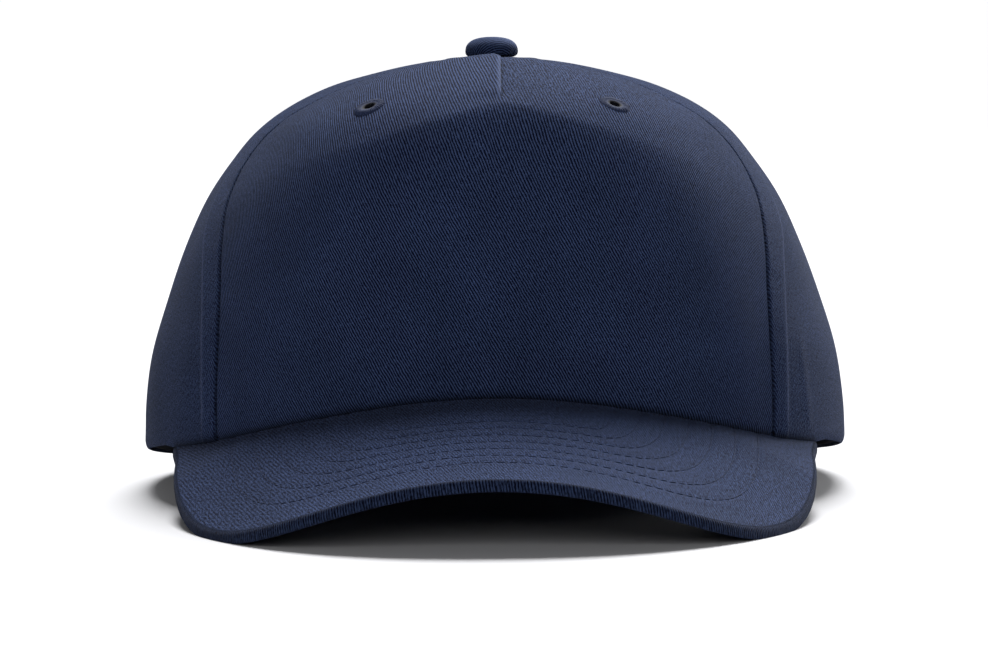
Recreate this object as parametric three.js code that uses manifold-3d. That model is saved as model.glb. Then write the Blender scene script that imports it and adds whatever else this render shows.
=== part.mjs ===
// A five panel cap with a pinched front, a curved peak and a back strap, set down on a table.
// Sizes are millimetres. The cap is modelled as it is worn: x runs across, y to the back, and z up from the
// side rim, with the button's axis at x = y = 0. At the end it is tipped until it stands on z = 0.
import * as THREE from "three";
import { mergeVertices } from "three/addons/utils/BufferGeometryUtils.js";
import Module from "manifold-3d";

const wasm = await Module();
wasm.setup();

// Crown, outside the cloth
const CROWN_WIDTH = 185;
const CROWN_FRONT_REACH = 99;
const CROWN_BACK_REACH = 99;
const CROWN_HEIGHT = 103.3;
const RIM_TILT_DEG = 2.9;
const RIM_BLEND_DEG = 8;
const FLAT_HEM_START = 75; // the hem lies on the table farther back than this

// Cloth
const FRONT_WALL = 1.6;
const SIDE_WALL = 1.3;
const SEAM_GAP = 0.3;
const FOLD_WIDTH = 8; // seam allowance turned under the side panel's front edge
const FOLD_RAMP = 2;
const FOLD_LIFT = 0.6;
const FOLD_FADE_START = 0.84; // of the way up, where the fold begins to thin out
const FOLD_FADE_END = 0.95;

// Dart of the pinched front
const DART_OFFSET = 2.4;
const DART_WIDTH = 1.8;
const DART_DEPTH = 0.9;
const DART_END_RISE = 0.865;
const DART_FULL_RISE = 0.92;
const DART_NARROWS = 20; // crown half width below which the dart narrows to the button

// Peak
const PEAK_HALF_WIDTH = 81.2;
const PEAK_LENGTH = 68;
const PEAK_THICKNESS = 3;
const PEAK_SEAM_HEIGHT = 13.7;
const PEAK_SLOPE_DEG = 14.9;
const PEAK_SHOULDER = 62; // from the button's axis forward to the peak's widest line
const PEAK_CORNER = 2.4; // superellipse exponent of the outline
const PEAK_SAG = 24.5; // fall from the middle of the seam to the peak's half width
const PEAK_SAG_GAIN = 19; // what that fall gains towards the front edge
const PEAK_SAG_GAIN_START = 85;
const PEAK_SAG_GAIN_POWER = 1.2;
const PEAK_SAG_GAIN_SPREAD = 2.3; // exponent of the gain across the peak
const PEAK_EDGE_ROUND = 1.2;
const PEAK_END_DEG = 62;
const PEAK_FOOT_FLAT = 0.4; // how far the lowest corners are pressed flat

// Sweatband
const BAND_DEPTH = 2;
const BAND_WALL = 1.2;
const BAND_BOTTOM = 0.8;
const BAND_HEIGHT = 30;

// Opening and strap at the back
const ARCH_HALF_WIDTH = 36;
const ARCH_HEIGHT = 44;
const ARCH_SPRING = 14; // height at which the arch begins to curve
const STRAP_DEPTH = 1.7;
const STRAP_WALL = 1.4;
const STRAP_BOTTOM = 1.5;
const STRAP_HEIGHT = 20;
const STRAP_TUCK = 12;
const STRAP_END_GAP = 0.6;

// Button and eyelets
const BUTTON_RADIUS = 6.9;
const BUTTON_HEIGHT = 5.2;
const BUTTON_STEM_RADIUS = 3.5;
const BUTTON_STEM_LENGTH = 2.4;
const BUTTON_HOLE_CLEARANCE = 0.6;
const EYELET_RADIUS = 4.1;
const EYELET_BORE = 1.4;
const EYELET_SLEEVE = 2.1;
const EYELET_HEIGHT = 1;
const EYELET_AZIMUTH = 27.9;
const EYELET_RISE = 0.832;

// Horizontal sections of the crown, from the rim to the button. rise is the share of the height above the
// rim; width, front and back are shares of the rim's half width and reaches; the corners are superellipse
// exponents; frontSeam and backSeam are the seams' azimuths in degrees from the front.
const CROWN_SECTIONS = [
  { rise: 0, width: 1, front: 1, back: 1, frontCorner: 2.2, backCorner: 2.15, frontSeam: 48, backSeam: 112 },
  { rise: 0.12, width: 0.993, front: 0.996, back: 0.996, frontCorner: 2.25, backCorner: 2.15, frontSeam: 48.1, backSeam: 112 },
  { rise: 0.25, width: 0.973, front: 0.99, back: 0.978, frontCorner: 2.3, backCorner: 2.15, frontSeam: 48.6, backSeam: 112.5 },
  { rise: 0.38, width: 0.932, front: 0.982, back: 0.948, frontCorner: 2.3, backCorner: 2.15, frontSeam: 51.5, backSeam: 113.5 },
  { rise: 0.51, width: 0.881, front: 0.97, back: 0.898, frontCorner: 2.3, backCorner: 2.15, frontSeam: 56.2, backSeam: 115 },
  { rise: 0.63, width: 0.818, front: 0.948, back: 0.828, frontCorner: 2.3, backCorner: 2.1, frontSeam: 61.6, backSeam: 117.5 },
  { rise: 0.73, width: 0.746, front: 0.912, back: 0.745, frontCorner: 2.3, backCorner: 2.1, frontSeam: 64.2, backSeam: 120 },
  { rise: 0.81, width: 0.675, front: 0.845, back: 0.655, frontCorner: 2.3, backCorner: 2.05, frontSeam: 61.5, backSeam: 122 },
  { rise: 0.87, width: 0.588, front: 0.73, back: 0.563, frontCorner: 2.25, backCorner: 2.05, frontSeam: 56.5, backSeam: 123 },
  { rise: 0.92, width: 0.474, front: 0.578, back: 0.457, frontCorner: 2.2, backCorner: 2, frontSeam: 53, backSeam: 124 },
  { rise: 0.955, width: 0.352, front: 0.43, back: 0.345, frontCorner: 2.1, backCorner: 2, frontSeam: 50.5, backSeam: 124 },
  { rise: 0.981, width: 0.229, front: 0.283, back: 0.225, frontCorner: 2, backCorner: 2, frontSeam: 49, backSeam: 124 },
  { rise: 0.995, width: 0.115, front: 0.138, back: 0.113, frontCorner: 2, backCorner: 2, frontSeam: 48.5, backSeam: 124 },
  { rise: 1, width: 0, front: 0, back: 0, frontCorner: 2, backCorner: 2, frontSeam: 48.5, backSeam: 124 },
];
const SHRINKING = ["width", "front", "back"]; // columns that pass through zero at the button

// Turned outlines as shares of radius and height, from the axis below to the axis above.
const BUTTON_DOME = [
  { radius: 0.86, height: 0 },
  { radius: 0.97, height: 0.14 },
  { radius: 1, height: 0.34 },
  { radius: 0.93, height: 0.6 },
  { radius: 0.74, height: 0.82 },
  { radius: 0.42, height: 0.95 },
  { radius: 0, height: 1 },
];
const EYELET_ROLL = [
  { radius: 0.93, height: 0 },
  { radius: 1, height: 0.4 },
  { radius: 0.88, height: 0.85 },
  { radius: 0.68, height: 1 },
  { radius: 0.48, height: 0.8 },
];

// Mesh densities
const CROWN_ROWS = 18;
const FRONT_HALF_COLUMNS = 10;
const SIDE_COLUMNS = 9;
const BACK_COLUMNS = 10;
const PEAK_COLUMNS = 36;
const PEAK_ROWS = 7;
const BAND_COLUMNS = 44;
const BAND_ROWS = 2;
const STRAP_COLUMNS = 16;
const ARCH_STEPS = 16;
const ROUND_SIDES = 24;
const SOLVER_STEPS = 40;
const LEVEL_STEP = 1e-3;

const { degToRad, radToDeg, lerp, clamp, smoothstep } = THREE.MathUtils;
const signedPower = (value, power) => Math.sign(value) * Math.abs(value) ** power;
const spline = (a, b, c, d, t) =>
  0.5 * (2 * b + (c - a) * t + (2 * a - 5 * b + 4 * c - d) * t * t + (3 * b - a - 3 * c + d) * t ** 3);

// Crown surface

// The section at a level from 0, the rim, to 1, the button.
function sectionAt(level) {
  const last = CROWN_SECTIONS.length - 1;
  const place = clamp(level, 0, 1) * last;
  const start = Math.min(Math.floor(place), last - 1);
  const section = {};
  for (const column of Object.keys(CROWN_SECTIONS[0])) {
    const past = (SHRINKING.includes(column) ? -1 : 1) * CROWN_SECTIONS[last - 1][column];
    section[column] = spline(
      CROWN_SECTIONS[Math.max(start - 1, 0)][column],
      CROWN_SECTIONS[start][column],
      CROWN_SECTIONS[start + 1][column],
      start + 2 > last ? past : CROWN_SECTIONS[start + 2][column],
      place - start,
    );
  }
  return section;
}

// The level at which a column of the table reaches a value.
function levelWhere(column, value) {
  const falls = sectionAt(1)[column] < sectionAt(0)[column];
  let low = 0;
  let high = 1;
  for (let step = 0; step < SOLVER_STEPS; step += 1) {
    const middle = (low + high) / 2;
    const before = falls ? sectionAt(middle)[column] > value : sectionAt(middle)[column] < value;
    if (before) low = middle;
    else high = middle;
  }
  return low;
}

// Where an azimuth meets a section, seen from above.
function sectionPoint(azimuth, section) {
  const across = Math.sin(degToRad(azimuth));
  const ahead = Math.cos(degToRad(azimuth));
  const power = 2 / (ahead > 0 ? section.frontCorner : section.backCorner);
  const reach = ahead > 0 ? CROWN_FRONT_REACH * section.front : CROWN_BACK_REACH * section.back;
  return {
    x: (CROWN_WIDTH / 2) * section.width * signedPower(across, power),
    y: -reach * signedPower(ahead, power),
  };
}

// The azimuth, between the front and a side, at which a section reaches x.
function azimuthAt(x, section, corner) {
  const share = Math.abs(x) / ((CROWN_WIDTH / 2) * section.width);
  return Math.sign(x) * radToDeg(Math.asin(Math.min(share, 1) ** (corner / 2)));
}

const rimPlane = (y) => -Math.tan(degToRad(RIM_TILT_DEG)) * y;
const hemPivot = { y: FLAT_HEM_START, z: rimPlane(FLAT_HEM_START) };
const tableSlope = slopeOfTable();
const tablePlane = (y) => hemPivot.z + tableSlope * (y - hemPivot.y);

// The height of the crown's lower edge, on the peak in front and on the table at the back.
function rimHeight(azimuth, x, y) {
  const round = Math.abs(azimuth) > 180 ? 360 - Math.abs(azimuth) : Math.abs(azimuth);
  const plain = Math.max(rimPlane(y), tablePlane(y));
  const pastPeak = smoothstep(round, PEAK_END_DEG, PEAK_END_DEG + RIM_BLEND_DEG);
  return pastPeak < 1 ? lerp(peakTop(x, y) + SEAM_GAP, plain, pastPeak) : plain;
}

function crownSurface(azimuth, level) {
  const section = sectionAt(level);
  const foot = sectionPoint(azimuth, sectionAt(0));
  const point = sectionPoint(azimuth, section);
  const rim = rimHeight(azimuth, foot.x, foot.y);
  return new THREE.Vector3(point.x, point.y, lerp(rim, CROWN_HEIGHT, section.rise));
}

function crownNormal(azimuth, level) {
  const across = crownSurface(azimuth + 1, level).sub(crownSurface(azimuth - 1, level));
  const above = Math.min(level + LEVEL_STEP, 1);
  const below = Math.max(level - LEVEL_STEP, 0);
  const upward = crownSurface(azimuth, above).sub(crownSurface(azimuth, below));
  return across.cross(upward).normalize();
}

// A point at a depth under the crown's outer face. With a negative depth it stands proud.
function crownPoint(azimuth, level, depth) {
  const point = crownSurface(azimuth, level).addScaledVector(crownNormal(azimuth, level), -depth);
  if (level === 0) point.z = rimHeight(azimuth, point.x, point.y);
  return point;
}

// The same at a height above the rim.
function crownPointAt(azimuth, height, depth) {
  const foot = sectionPoint(azimuth, sectionAt(0));
  const rise = height / (CROWN_HEIGHT - rimHeight(azimuth, foot.x, foot.y));
  return crownPoint(azimuth, levelWhere("rise", rise), depth);
}

// Peak surface

function peakTop(x, y) {
  const middle = PEAK_SEAM_HEIGHT + Math.tan(degToRad(PEAK_SLOPE_DEG)) * (y + CROWN_FRONT_REACH);
  const forward = clamp(-y / PEAK_SAG_GAIN_START - 1, 0, 1) ** PEAK_SAG_GAIN_POWER;
  const aside = Math.abs(x) / PEAK_HALF_WIDTH;
  return middle - PEAK_SAG * aside ** 2 - PEAK_SAG_GAIN * forward * aside ** PEAK_SAG_GAIN_SPREAD;
}

// A point of the peak's upper or under face. Row 0 is below the crown's wall and the last row is the edge.
function peakPoint(column, row, under) {
  const share = (2 * column) / PEAK_COLUMNS - 1;
  const foot = sectionPoint(share * PEAK_END_DEG, sectionAt(0));
  const inward = 1 - FRONT_WALL / Math.hypot(foot.x, foot.y);
  const turn = (share * Math.PI) / 2;
  const reach = CROWN_FRONT_REACH + PEAK_LENGTH - PEAK_SHOULDER;
  const edgeX = PEAK_HALF_WIDTH * signedPower(Math.sin(turn), 2 / PEAK_CORNER);
  const edgeY = -PEAK_SHOULDER - reach * Math.max(Math.cos(turn), 0) ** (2 / PEAK_CORNER);
  const length = Math.hypot(edgeX - foot.x * inward, edgeY - foot.y * inward);
  const atEdge = row === PEAK_ROWS;
  const along = atEdge ? 1 : (row / (PEAK_ROWS - 1)) * (1 - PEAK_EDGE_ROUND / length);
  const x = lerp(foot.x * inward, edgeX, along);
  const y = lerp(foot.y * inward, edgeY, along);
  const trim = atEdge ? PEAK_EDGE_ROUND * 0.6 : 0;
  return new THREE.Vector3(x, y, peakTop(x, y) - (under ? PEAK_THICKNESS - trim : trim));
}

// The slope of the table under the worn cap, from its flat hem to the lowest corners of the peak.
function slopeOfTable() {
  let slope = 0;
  for (let column = 0; column <= PEAK_COLUMNS; column += 1) {
    for (let row = 0; row <= PEAK_ROWS; row += 1) {
      const { y, z } = peakPoint(column, row, true);
      slope = Math.max(slope, (hemPivot.z - z - PEAK_FOOT_FLAT) / (hemPivot.y - y));
    }
  }
  return slope;
}

// Solids

// One clean shell, turned outwards, from positions and faces.
function bodyOf(geometry) {
  const bare = geometry.clone();
  bare.deleteAttribute("normal");
  bare.deleteAttribute("uv");
  const merged = mergeVertices(bare);
  const place = merged.attributes.position;
  const index = merged.index.array;
  const corner = (at) => new THREE.Vector3().fromBufferAttribute(place, at);
  const faces = [];
  let volume = 0;
  for (let start = 0; start < index.length; start += 3) {
    const [a, b, c] = index.slice(start, start + 3);
    if (a === b || b === c || c === a) continue;
    faces.push([a, b, c]);
    volume += corner(a).dot(corner(b).cross(corner(c)));
  }
  merged.setIndex(faces.map(([a, b, c]) => (volume < 0 ? [a, c, b] : [a, b, c])).flat());
  return merged;
}

// A closed wall between two grids of points, each asked for by column and row.
function wall(columns, rows, outer, inner) {
  const points = [];
  const faces = [];
  for (const face of [outer, inner]) {
    for (let column = 0; column <= columns; column += 1) {
      for (let row = 0; row <= rows; row += 1) points.push(...face(column, row).toArray());
    }
  }
  const size = (columns + 1) * (rows + 1);
  const at = (column, row, side) => side * size + column * (rows + 1) + row;
  const quad = (a, b, c, d) => faces.push(a, b, c, a, c, d);
  for (let column = 0; column < columns; column += 1) {
    const next = column + 1;
    for (let row = 0; row < rows; row += 1) {
      quad(at(column, row, 0), at(next, row, 0), at(next, row + 1, 0), at(column, row + 1, 0));
      quad(at(column, row, 1), at(column, row + 1, 1), at(next, row + 1, 1), at(next, row, 1));
    }
    quad(at(column, 0, 0), at(column, 0, 1), at(next, 0, 1), at(next, 0, 0));
    quad(at(column, rows, 0), at(next, rows, 0), at(next, rows, 1), at(column, rows, 1));
  }
  for (let row = 0; row < rows; row += 1) {
    quad(at(0, row, 0), at(0, row + 1, 0), at(0, row + 1, 1), at(0, row, 1));
    quad(at(columns, row, 0), at(columns, row, 1), at(columns, row + 1, 1), at(columns, row + 1, 0));
  }
  const geometry = new THREE.BufferGeometry();
  geometry.setAttribute("position", new THREE.Float32BufferAttribute(points, 3));
  geometry.setIndex(faces);
  return bodyOf(geometry);
}

// A body turned about z from a list of [radius, height].
function turned(outline) {
  const points = outline.map(([radius, height]) => new THREE.Vector2(radius, height));
  return bodyOf(new THREE.LatheGeometry(points, ROUND_SIDES).rotateX(Math.PI / 2));
}

function cut(geometry, tools) {
  const solidOf = (shape) =>
    new wasm.Manifold(
      new wasm.Mesh({
        numProp: 3,
        vertProperties: new Float32Array(shape.attributes.position.array),
        triVerts: new Uint32Array(shape.index.array),
      }),
    );
  let solid = solidOf(geometry);
  for (const tool of tools) solid = solid.subtract(solidOf(bodyOf(tool)));
  const mesh = solid.getMesh();
  const result = new THREE.BufferGeometry();
  result.setAttribute("position", new THREE.BufferAttribute(new Float32Array(mesh.vertProperties), 3));
  result.setIndex(new THREE.BufferAttribute(new Uint32Array(mesh.triVerts), 1));
  return result;
}

// Panels

const holeShare = (BUTTON_STEM_RADIUS + BUTTON_HOLE_CLEARANCE) / (CROWN_WIDTH / 2);
const topLevel = levelWhere("width", holeShare);

// A seam's azimuth moved by half the gap between panels. way is 1 towards the back and -1 towards the front.
function besideSeam(azimuth, section, way) {
  const point = sectionPoint(azimuth, section);
  return azimuth + way * radToDeg(SEAM_GAP / 2 / Math.hypot(point.x, point.y));
}

// One panel, from a list of columns for each section. Each column has an azimuth and how far it stands out.
function panel(columnsOf, thickness) {
  const rows = [];
  for (let row = 0; row <= CROWN_ROWS; row += 1) {
    const level = (row / CROWN_ROWS) * topLevel;
    rows.push({ level, columns: columnsOf(sectionAt(level)) });
  }
  const face = (depthOf) => (column, row) => {
    const { level, columns } = rows[row];
    return crownPoint(columns[column].azimuth, level, depthOf(columns[column]));
  };
  const columnCount = rows[0].columns.length - 1;
  return wall(
    columnCount,
    CROWN_ROWS,
    face((column) => -column.lift),
    face(() => thickness),
  );
}

// Evenly spread columns that leave the first one out.
function spread(from, to, count) {
  return Array.from({ length: count }, (_, step) => ({ azimuth: lerp(from, to, (step + 1) / count), lift: 0 }));
}

function frontColumns(section) {
  const seam = besideSeam(section.frontSeam, section, -1);
  const narrowing = Math.min((section.width * CROWN_WIDTH) / 2 / DART_NARROWS, 1);
  const sunk = -DART_DEPTH * smoothstep(section.rise, DART_END_RISE, DART_FULL_RISE);
  const dartAt = (shift) => azimuthAt((DART_OFFSET + shift) * narrowing, section, section.frontCorner);
  const right = dartAt(DART_WIDTH / 2);
  return [
    { azimuth: -seam, lift: 0 },
    ...spread(-seam, dartAt(-DART_WIDTH / 2), FRONT_HALF_COLUMNS),
    { azimuth: dartAt(0), lift: sunk },
    { azimuth: right, lift: 0 },
    ...spread(right, seam, FRONT_HALF_COLUMNS),
  ];
}

const sideColumns = (side) => (section) => {
  const first = besideSeam(section.frontSeam, section, 1);
  const last = besideSeam(section.backSeam, section, -1);
  const front = sectionPoint(first, section);
  const turn = (width) => radToDeg(width / Math.hypot(front.x, front.y));
  const squeeze = Math.min((last - first) / 3 / turn(FOLD_WIDTH + FOLD_RAMP), 1);
  const lift = FOLD_LIFT * (1 - smoothstep(section.rise, FOLD_FADE_START, FOLD_FADE_END));
  const foldEnd = first + turn(FOLD_WIDTH + FOLD_RAMP) * squeeze;
  const columns = [
    { azimuth: first, lift },
    { azimuth: first + turn(FOLD_WIDTH) * squeeze, lift },
    { azimuth: foldEnd, lift: 0 },
    ...spread(foldEnd, last, SIDE_COLUMNS),
  ];
  return columns.map((column) => ({ ...column, azimuth: side * column.azimuth }));
};

const backColumns = (side) => (section) => {
  const first = besideSeam(section.backSeam, section, 1);
  const last = besideSeam(180, section, -1);
  const columns = [{ azimuth: first, lift: 0 }, ...spread(first, last, BACK_COLUMNS)];
  return columns.map((column) => ({ ...column, azimuth: side * column.azimuth }));
};

function archTool() {
  const below = tablePlane(0) - ARCH_HEIGHT;
  const foot = rimPlane(CROWN_BACK_REACH);
  const shape = new THREE.Shape();
  shape.moveTo(-ARCH_HALF_WIDTH, below);
  shape.lineTo(ARCH_HALF_WIDTH, below);
  for (let step = 0; step <= ARCH_STEPS; step += 1) {
    const turn = (step / ARCH_STEPS) * Math.PI;
    shape.lineTo(
      ARCH_HALF_WIDTH * Math.cos(turn),
      foot + ARCH_SPRING + (ARCH_HEIGHT - ARCH_SPRING) * Math.sin(turn),
    );
  }
  const tool = new THREE.ExtrudeGeometry(shape, { depth: CROWN_BACK_REACH, bevelEnabled: false });
  return tool.rotateX(Math.PI / 2).translate(0, CROWN_BACK_REACH * 1.5, 0);
}

function eyeletPlacement(side) {
  const level = levelWhere("rise", EYELET_RISE);
  const normal = crownNormal(side * EYELET_AZIMUTH, level);
  const turn = new THREE.Quaternion().setFromUnitVectors(new THREE.Vector3(0, 0, 1), normal);
  return new THREE.Matrix4().compose(crownSurface(side * EYELET_AZIMUTH, level), turn, new THREE.Vector3(1, 1, 1));
}

function eyelet(side) {
  const foot = -FRONT_WALL - SEAM_GAP;
  const roll = EYELET_ROLL.map(({ radius, height }) => [radius * EYELET_RADIUS, SEAM_GAP + height * EYELET_HEIGHT]);
  const sleeve = [
    [EYELET_BORE, SEAM_GAP],
    [EYELET_BORE, foot],
    [EYELET_SLEEVE, foot],
    [EYELET_SLEEVE, SEAM_GAP],
  ];
  return turned([...sleeve, ...roll, sleeve[0]]).applyMatrix4(eyeletPlacement(side));
}

function eyeletHole(side) {
  const length = FRONT_WALL * 4;
  const hole = new THREE.CylinderGeometry(EYELET_SLEEVE + SEAM_GAP, EYELET_SLEEVE + SEAM_GAP, length, ROUND_SIDES);
  return hole.rotateX(Math.PI / 2).applyMatrix4(eyeletPlacement(side));
}

function button() {
  const foot = CROWN_HEIGHT + SEAM_GAP;
  const dome = BUTTON_DOME.map(({ radius, height }) => [radius * BUTTON_RADIUS, foot + height * BUTTON_HEIGHT]);
  return turned([
    [0, foot - BUTTON_STEM_LENGTH],
    [BUTTON_STEM_RADIUS, foot - BUTTON_STEM_LENGTH],
    [BUTTON_STEM_RADIUS, foot],
    ...dome,
  ]);
}

// A band inside the crown, between two azimuths and two heights.
function liner({ from, to, columns, rows, bottom, top, depth, thickness }) {
  const face = (under) => (column, row) =>
    crownPointAt(lerp(from, to, column / columns), lerp(bottom, top, row / rows), under);
  return wall(columns, rows, face(depth), face(depth + thickness));
}

const rimSection = sectionAt(0);
const strapReach = azimuthAt(ARCH_HALF_WIDTH + STRAP_TUCK, rimSection, rimSection.backCorner);
const bandReach = 180 - azimuthAt(ARCH_HALF_WIDTH + STRAP_TUCK + STRAP_END_GAP, rimSection, rimSection.backCorner);

const sweatband = () =>
  liner({
    from: -bandReach,
    to: bandReach,
    columns: BAND_COLUMNS,
    rows: BAND_ROWS,
    bottom: BAND_BOTTOM,
    top: BAND_HEIGHT,
    depth: BAND_DEPTH,
    thickness: BAND_WALL,
  });

const strap = () =>
  liner({
    from: 180 - strapReach,
    to: 180 + strapReach,
    columns: STRAP_COLUMNS,
    rows: 1,
    bottom: STRAP_BOTTOM,
    top: STRAP_HEIGHT,
    depth: STRAP_DEPTH,
    thickness: STRAP_WALL,
  });

function peak() {
  const point = (under) => (column, row) => {
    const place = peakPoint(column, row, under);
    place.z = Math.max(place.z, tablePlane(place.y));
    return place;
  };
  return wall(PEAK_COLUMNS, PEAK_ROWS, point(false), point(true));
}

// The cap

const twill = new THREE.MeshStandardMaterial({ color: 0x1c2540, roughness: 0.95, metalness: 0 });
const thread = new THREE.MeshStandardMaterial({ color: 0x1a2239, roughness: 0.85, metalness: 0 });
const bandCloth = new THREE.MeshStandardMaterial({ color: 0x151b2e, roughness: 0.95, metalness: 0 });

const pieces = [
  ["front_panel", cut(panel(frontColumns, FRONT_WALL), [eyeletHole(-1), eyeletHole(1)]), twill],
  ["side_panel_left", panel(sideColumns(-1), SIDE_WALL), twill],
  ["side_panel_right", panel(sideColumns(1), SIDE_WALL), twill],
  ["back_panel_left", cut(panel(backColumns(-1), SIDE_WALL), [archTool()]), twill],
  ["back_panel_right", cut(panel(backColumns(1), SIDE_WALL), [archTool()]), twill],
  ["top_button", button(), twill],
  ["eyelet_left", eyelet(-1), thread],
  ["eyelet_right", eyelet(1), thread],
  ["peak", peak(), twill],
  ["sweatband", sweatband(), bandCloth],
  ["back_strap", strap(), twill],
];

const cap = new THREE.Group();
cap.name = "five_panel_cap";
const setDown = new THREE.Matrix4()
  .makeRotationX(-Math.atan(tableSlope))
  .multiply(new THREE.Matrix4().makeTranslation(0, -hemPivot.y, -hemPivot.z));
for (const [name, geometry, material] of pieces) {
  const mesh = new THREE.Mesh(geometry.applyMatrix4(setDown), material);
  mesh.name = name;
  cap.add(mesh);
}
const bounds = new THREE.Box3().setFromObject(cap);
const toMiddle = -(bounds.min.y + bounds.max.y) / 2;
for (const mesh of cap.children) mesh.geometry.translate(0, toMiddle, 0);

export default cap;
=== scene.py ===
"""A navy cotton five panel cap on a pale studio floor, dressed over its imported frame."""

import math

import bpy
import numpy as np
from mathutils import Matrix, Quaternion, Vector


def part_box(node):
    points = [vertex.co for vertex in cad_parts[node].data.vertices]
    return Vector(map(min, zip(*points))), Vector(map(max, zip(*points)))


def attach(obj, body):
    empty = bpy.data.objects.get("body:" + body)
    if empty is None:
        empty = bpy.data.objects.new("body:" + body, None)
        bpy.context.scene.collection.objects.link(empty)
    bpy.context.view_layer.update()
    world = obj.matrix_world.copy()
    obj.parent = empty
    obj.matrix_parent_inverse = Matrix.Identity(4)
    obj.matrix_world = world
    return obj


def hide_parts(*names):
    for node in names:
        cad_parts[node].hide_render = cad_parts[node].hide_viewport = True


bl_info = {
    "name": "Five Panel Cap",
    "version": (1, 0, 0),
    "blender": (4, 5, 0),
    "location": "View3D > Sidebar > Cap",
    "description": "Makes a cotton twill five panel cap, its stitching and a small studio",
    "category": "Object",
}

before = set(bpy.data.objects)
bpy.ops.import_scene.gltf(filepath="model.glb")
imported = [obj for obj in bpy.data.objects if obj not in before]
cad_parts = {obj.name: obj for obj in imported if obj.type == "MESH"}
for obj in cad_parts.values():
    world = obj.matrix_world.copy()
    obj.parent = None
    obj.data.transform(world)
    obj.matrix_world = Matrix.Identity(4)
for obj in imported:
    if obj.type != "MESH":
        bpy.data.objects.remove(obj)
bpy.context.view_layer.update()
MM = 0.001

# Sizes of the worn cap in millimetres, as the frame has them: x across, y to the back, z up from the side rim.
CROWN_WIDTH = 185.0
CROWN_FRONT_REACH = 99.0
CROWN_BACK_REACH = 99.0
CROWN_HEIGHT = 103.3
RIM_TILT_DEG = 2.9
RIM_BLEND_DEG = 8.0
FLAT_HEM_START = 75.0
FRONT_WALL = 1.6
SIDE_WALL = 1.3
DART_OFFSET = 2.4
DART_NARROWS = 20.0
PEAK_HALF_WIDTH = 81.2
PEAK_LENGTH = 68.0
PEAK_THICKNESS = 3.0
PEAK_EDGE_ROUND = 1.2
PEAK_TIP_TRIM = 0.72  # how far the rounded tip lies over the underside
PEAK_SEAM_HEIGHT = 13.7
PEAK_SLOPE_DEG = 14.9
PEAK_SHOULDER = 62.0
PEAK_CORNER = 2.4
PEAK_SAG = 24.5
PEAK_SAG_GAIN = 19.0
PEAK_SAG_GAIN_START = 85.0
PEAK_SAG_GAIN_POWER = 1.2
PEAK_SAG_GAIN_SPREAD = 2.3
PEAK_END_DEG = 62.0
PEAK_FOOT_FLAT = 0.4
BAND_DEPTH = 2.0
BAND_WALL = 1.2
BAND_BOTTOM = 0.8
BAND_HEIGHT = 30.0
ARCH_HALF_WIDTH = 36.0
ARCH_HEIGHT = 44.0
ARCH_SPRING = 14.0
STRAP_DEPTH = 1.7
STRAP_WALL = 1.4
STRAP_BOTTOM = 1.5
STRAP_HEIGHT = 20.0
STRAP_TUCK = 12.0
STRAP_END_GAP = 0.6
BUTTON_LIFT = 0.3
BUTTON_HOLE_RADIUS = 4.1
EYELET_AZIMUTH = 27.9
EYELET_RISE = 0.832
EYELET_CUT_RADIUS = 2.3

# What the cloth pieces add to the frame's plain shells, also in millimetres.
CLOTH_GAP = 0.01
SEAM_SINK = 0.7
SEAM_SINK_WIDTH = 0.28
FRONT_PUCKER = 0.16
BACK_PUCKER = 0.14
FOLD_X = 73.8
FOLD_TOP = 60.0
FOLD_CREST = 0.8
FOLD_AT_SEAM = 0.45
SECOND_FOLD_X = 80.2
SECOND_FOLD_LIFT = 0.3
RIM_ROLL = 1.8
RIM_ROLL_HEIGHT = 2.9
THIN_ROLL = 0.7  # of the front's, where the cloth isn't stiffened
PINCH_HEIGHT = 86.0
PINCH_LIFT = 2.4
PINCH_HOLLOW = 0.9
DART_FOLD_RISE = 0.836
DART_BULGE = 0.9
DART_SINK = 0.75
ARCH_BINDING = 0.3
ARCH_STITCH_INSETS = (5.0, 1.8)
DARKEST_PAINTED_SHADE = -0.8  # the darkest painted shade, on the scale of the cloth's painted light

# The crown's horizontal sections from rim to button: rise, width, front, back, the two corner exponents and
# the azimuths of the front and back seams.
SECTION_COLUMNS = ("rise", "width", "front", "back", "front_corner", "back_corner", "front_seam", "back_seam")
SECTIONS = np.array([
    (0.000, 1.000, 1.000, 1.000, 2.20, 2.15, 48.0, 112.0),
    (0.120, 0.993, 0.996, 0.996, 2.25, 2.15, 48.1, 112.0),
    (0.250, 0.973, 0.990, 0.978, 2.30, 2.15, 48.6, 112.5),
    (0.380, 0.932, 0.982, 0.948, 2.30, 2.15, 51.5, 113.5),
    (0.510, 0.881, 0.970, 0.898, 2.30, 2.15, 56.2, 115.0),
    (0.630, 0.818, 0.948, 0.828, 2.30, 2.10, 61.6, 117.5),
    (0.730, 0.746, 0.912, 0.745, 2.30, 2.10, 64.2, 120.0),
    (0.810, 0.675, 0.845, 0.655, 2.30, 2.05, 61.5, 122.0),
    (0.870, 0.588, 0.730, 0.563, 2.25, 2.05, 56.5, 123.0),
    (0.920, 0.474, 0.578, 0.457, 2.20, 2.00, 53.0, 124.0),
    (0.955, 0.352, 0.430, 0.345, 2.10, 2.00, 50.5, 124.0),
    (0.981, 0.229, 0.283, 0.225, 2.00, 2.00, 49.0, 124.0),
    (0.995, 0.115, 0.138, 0.113, 2.00, 2.00, 48.5, 124.0),
    (1.000, 0.000, 0.000, 0.000, 2.00, 2.00, 48.5, 124.0),
])


# Crown surface

def smooth(value, start, end):
    t = np.clip((np.asarray(value, float) - start) / (end - start), 0, 1)
    return t * t * (3 - 2 * t)


def signed_power(value, power):
    return np.sign(value) * np.abs(value) ** power


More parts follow.
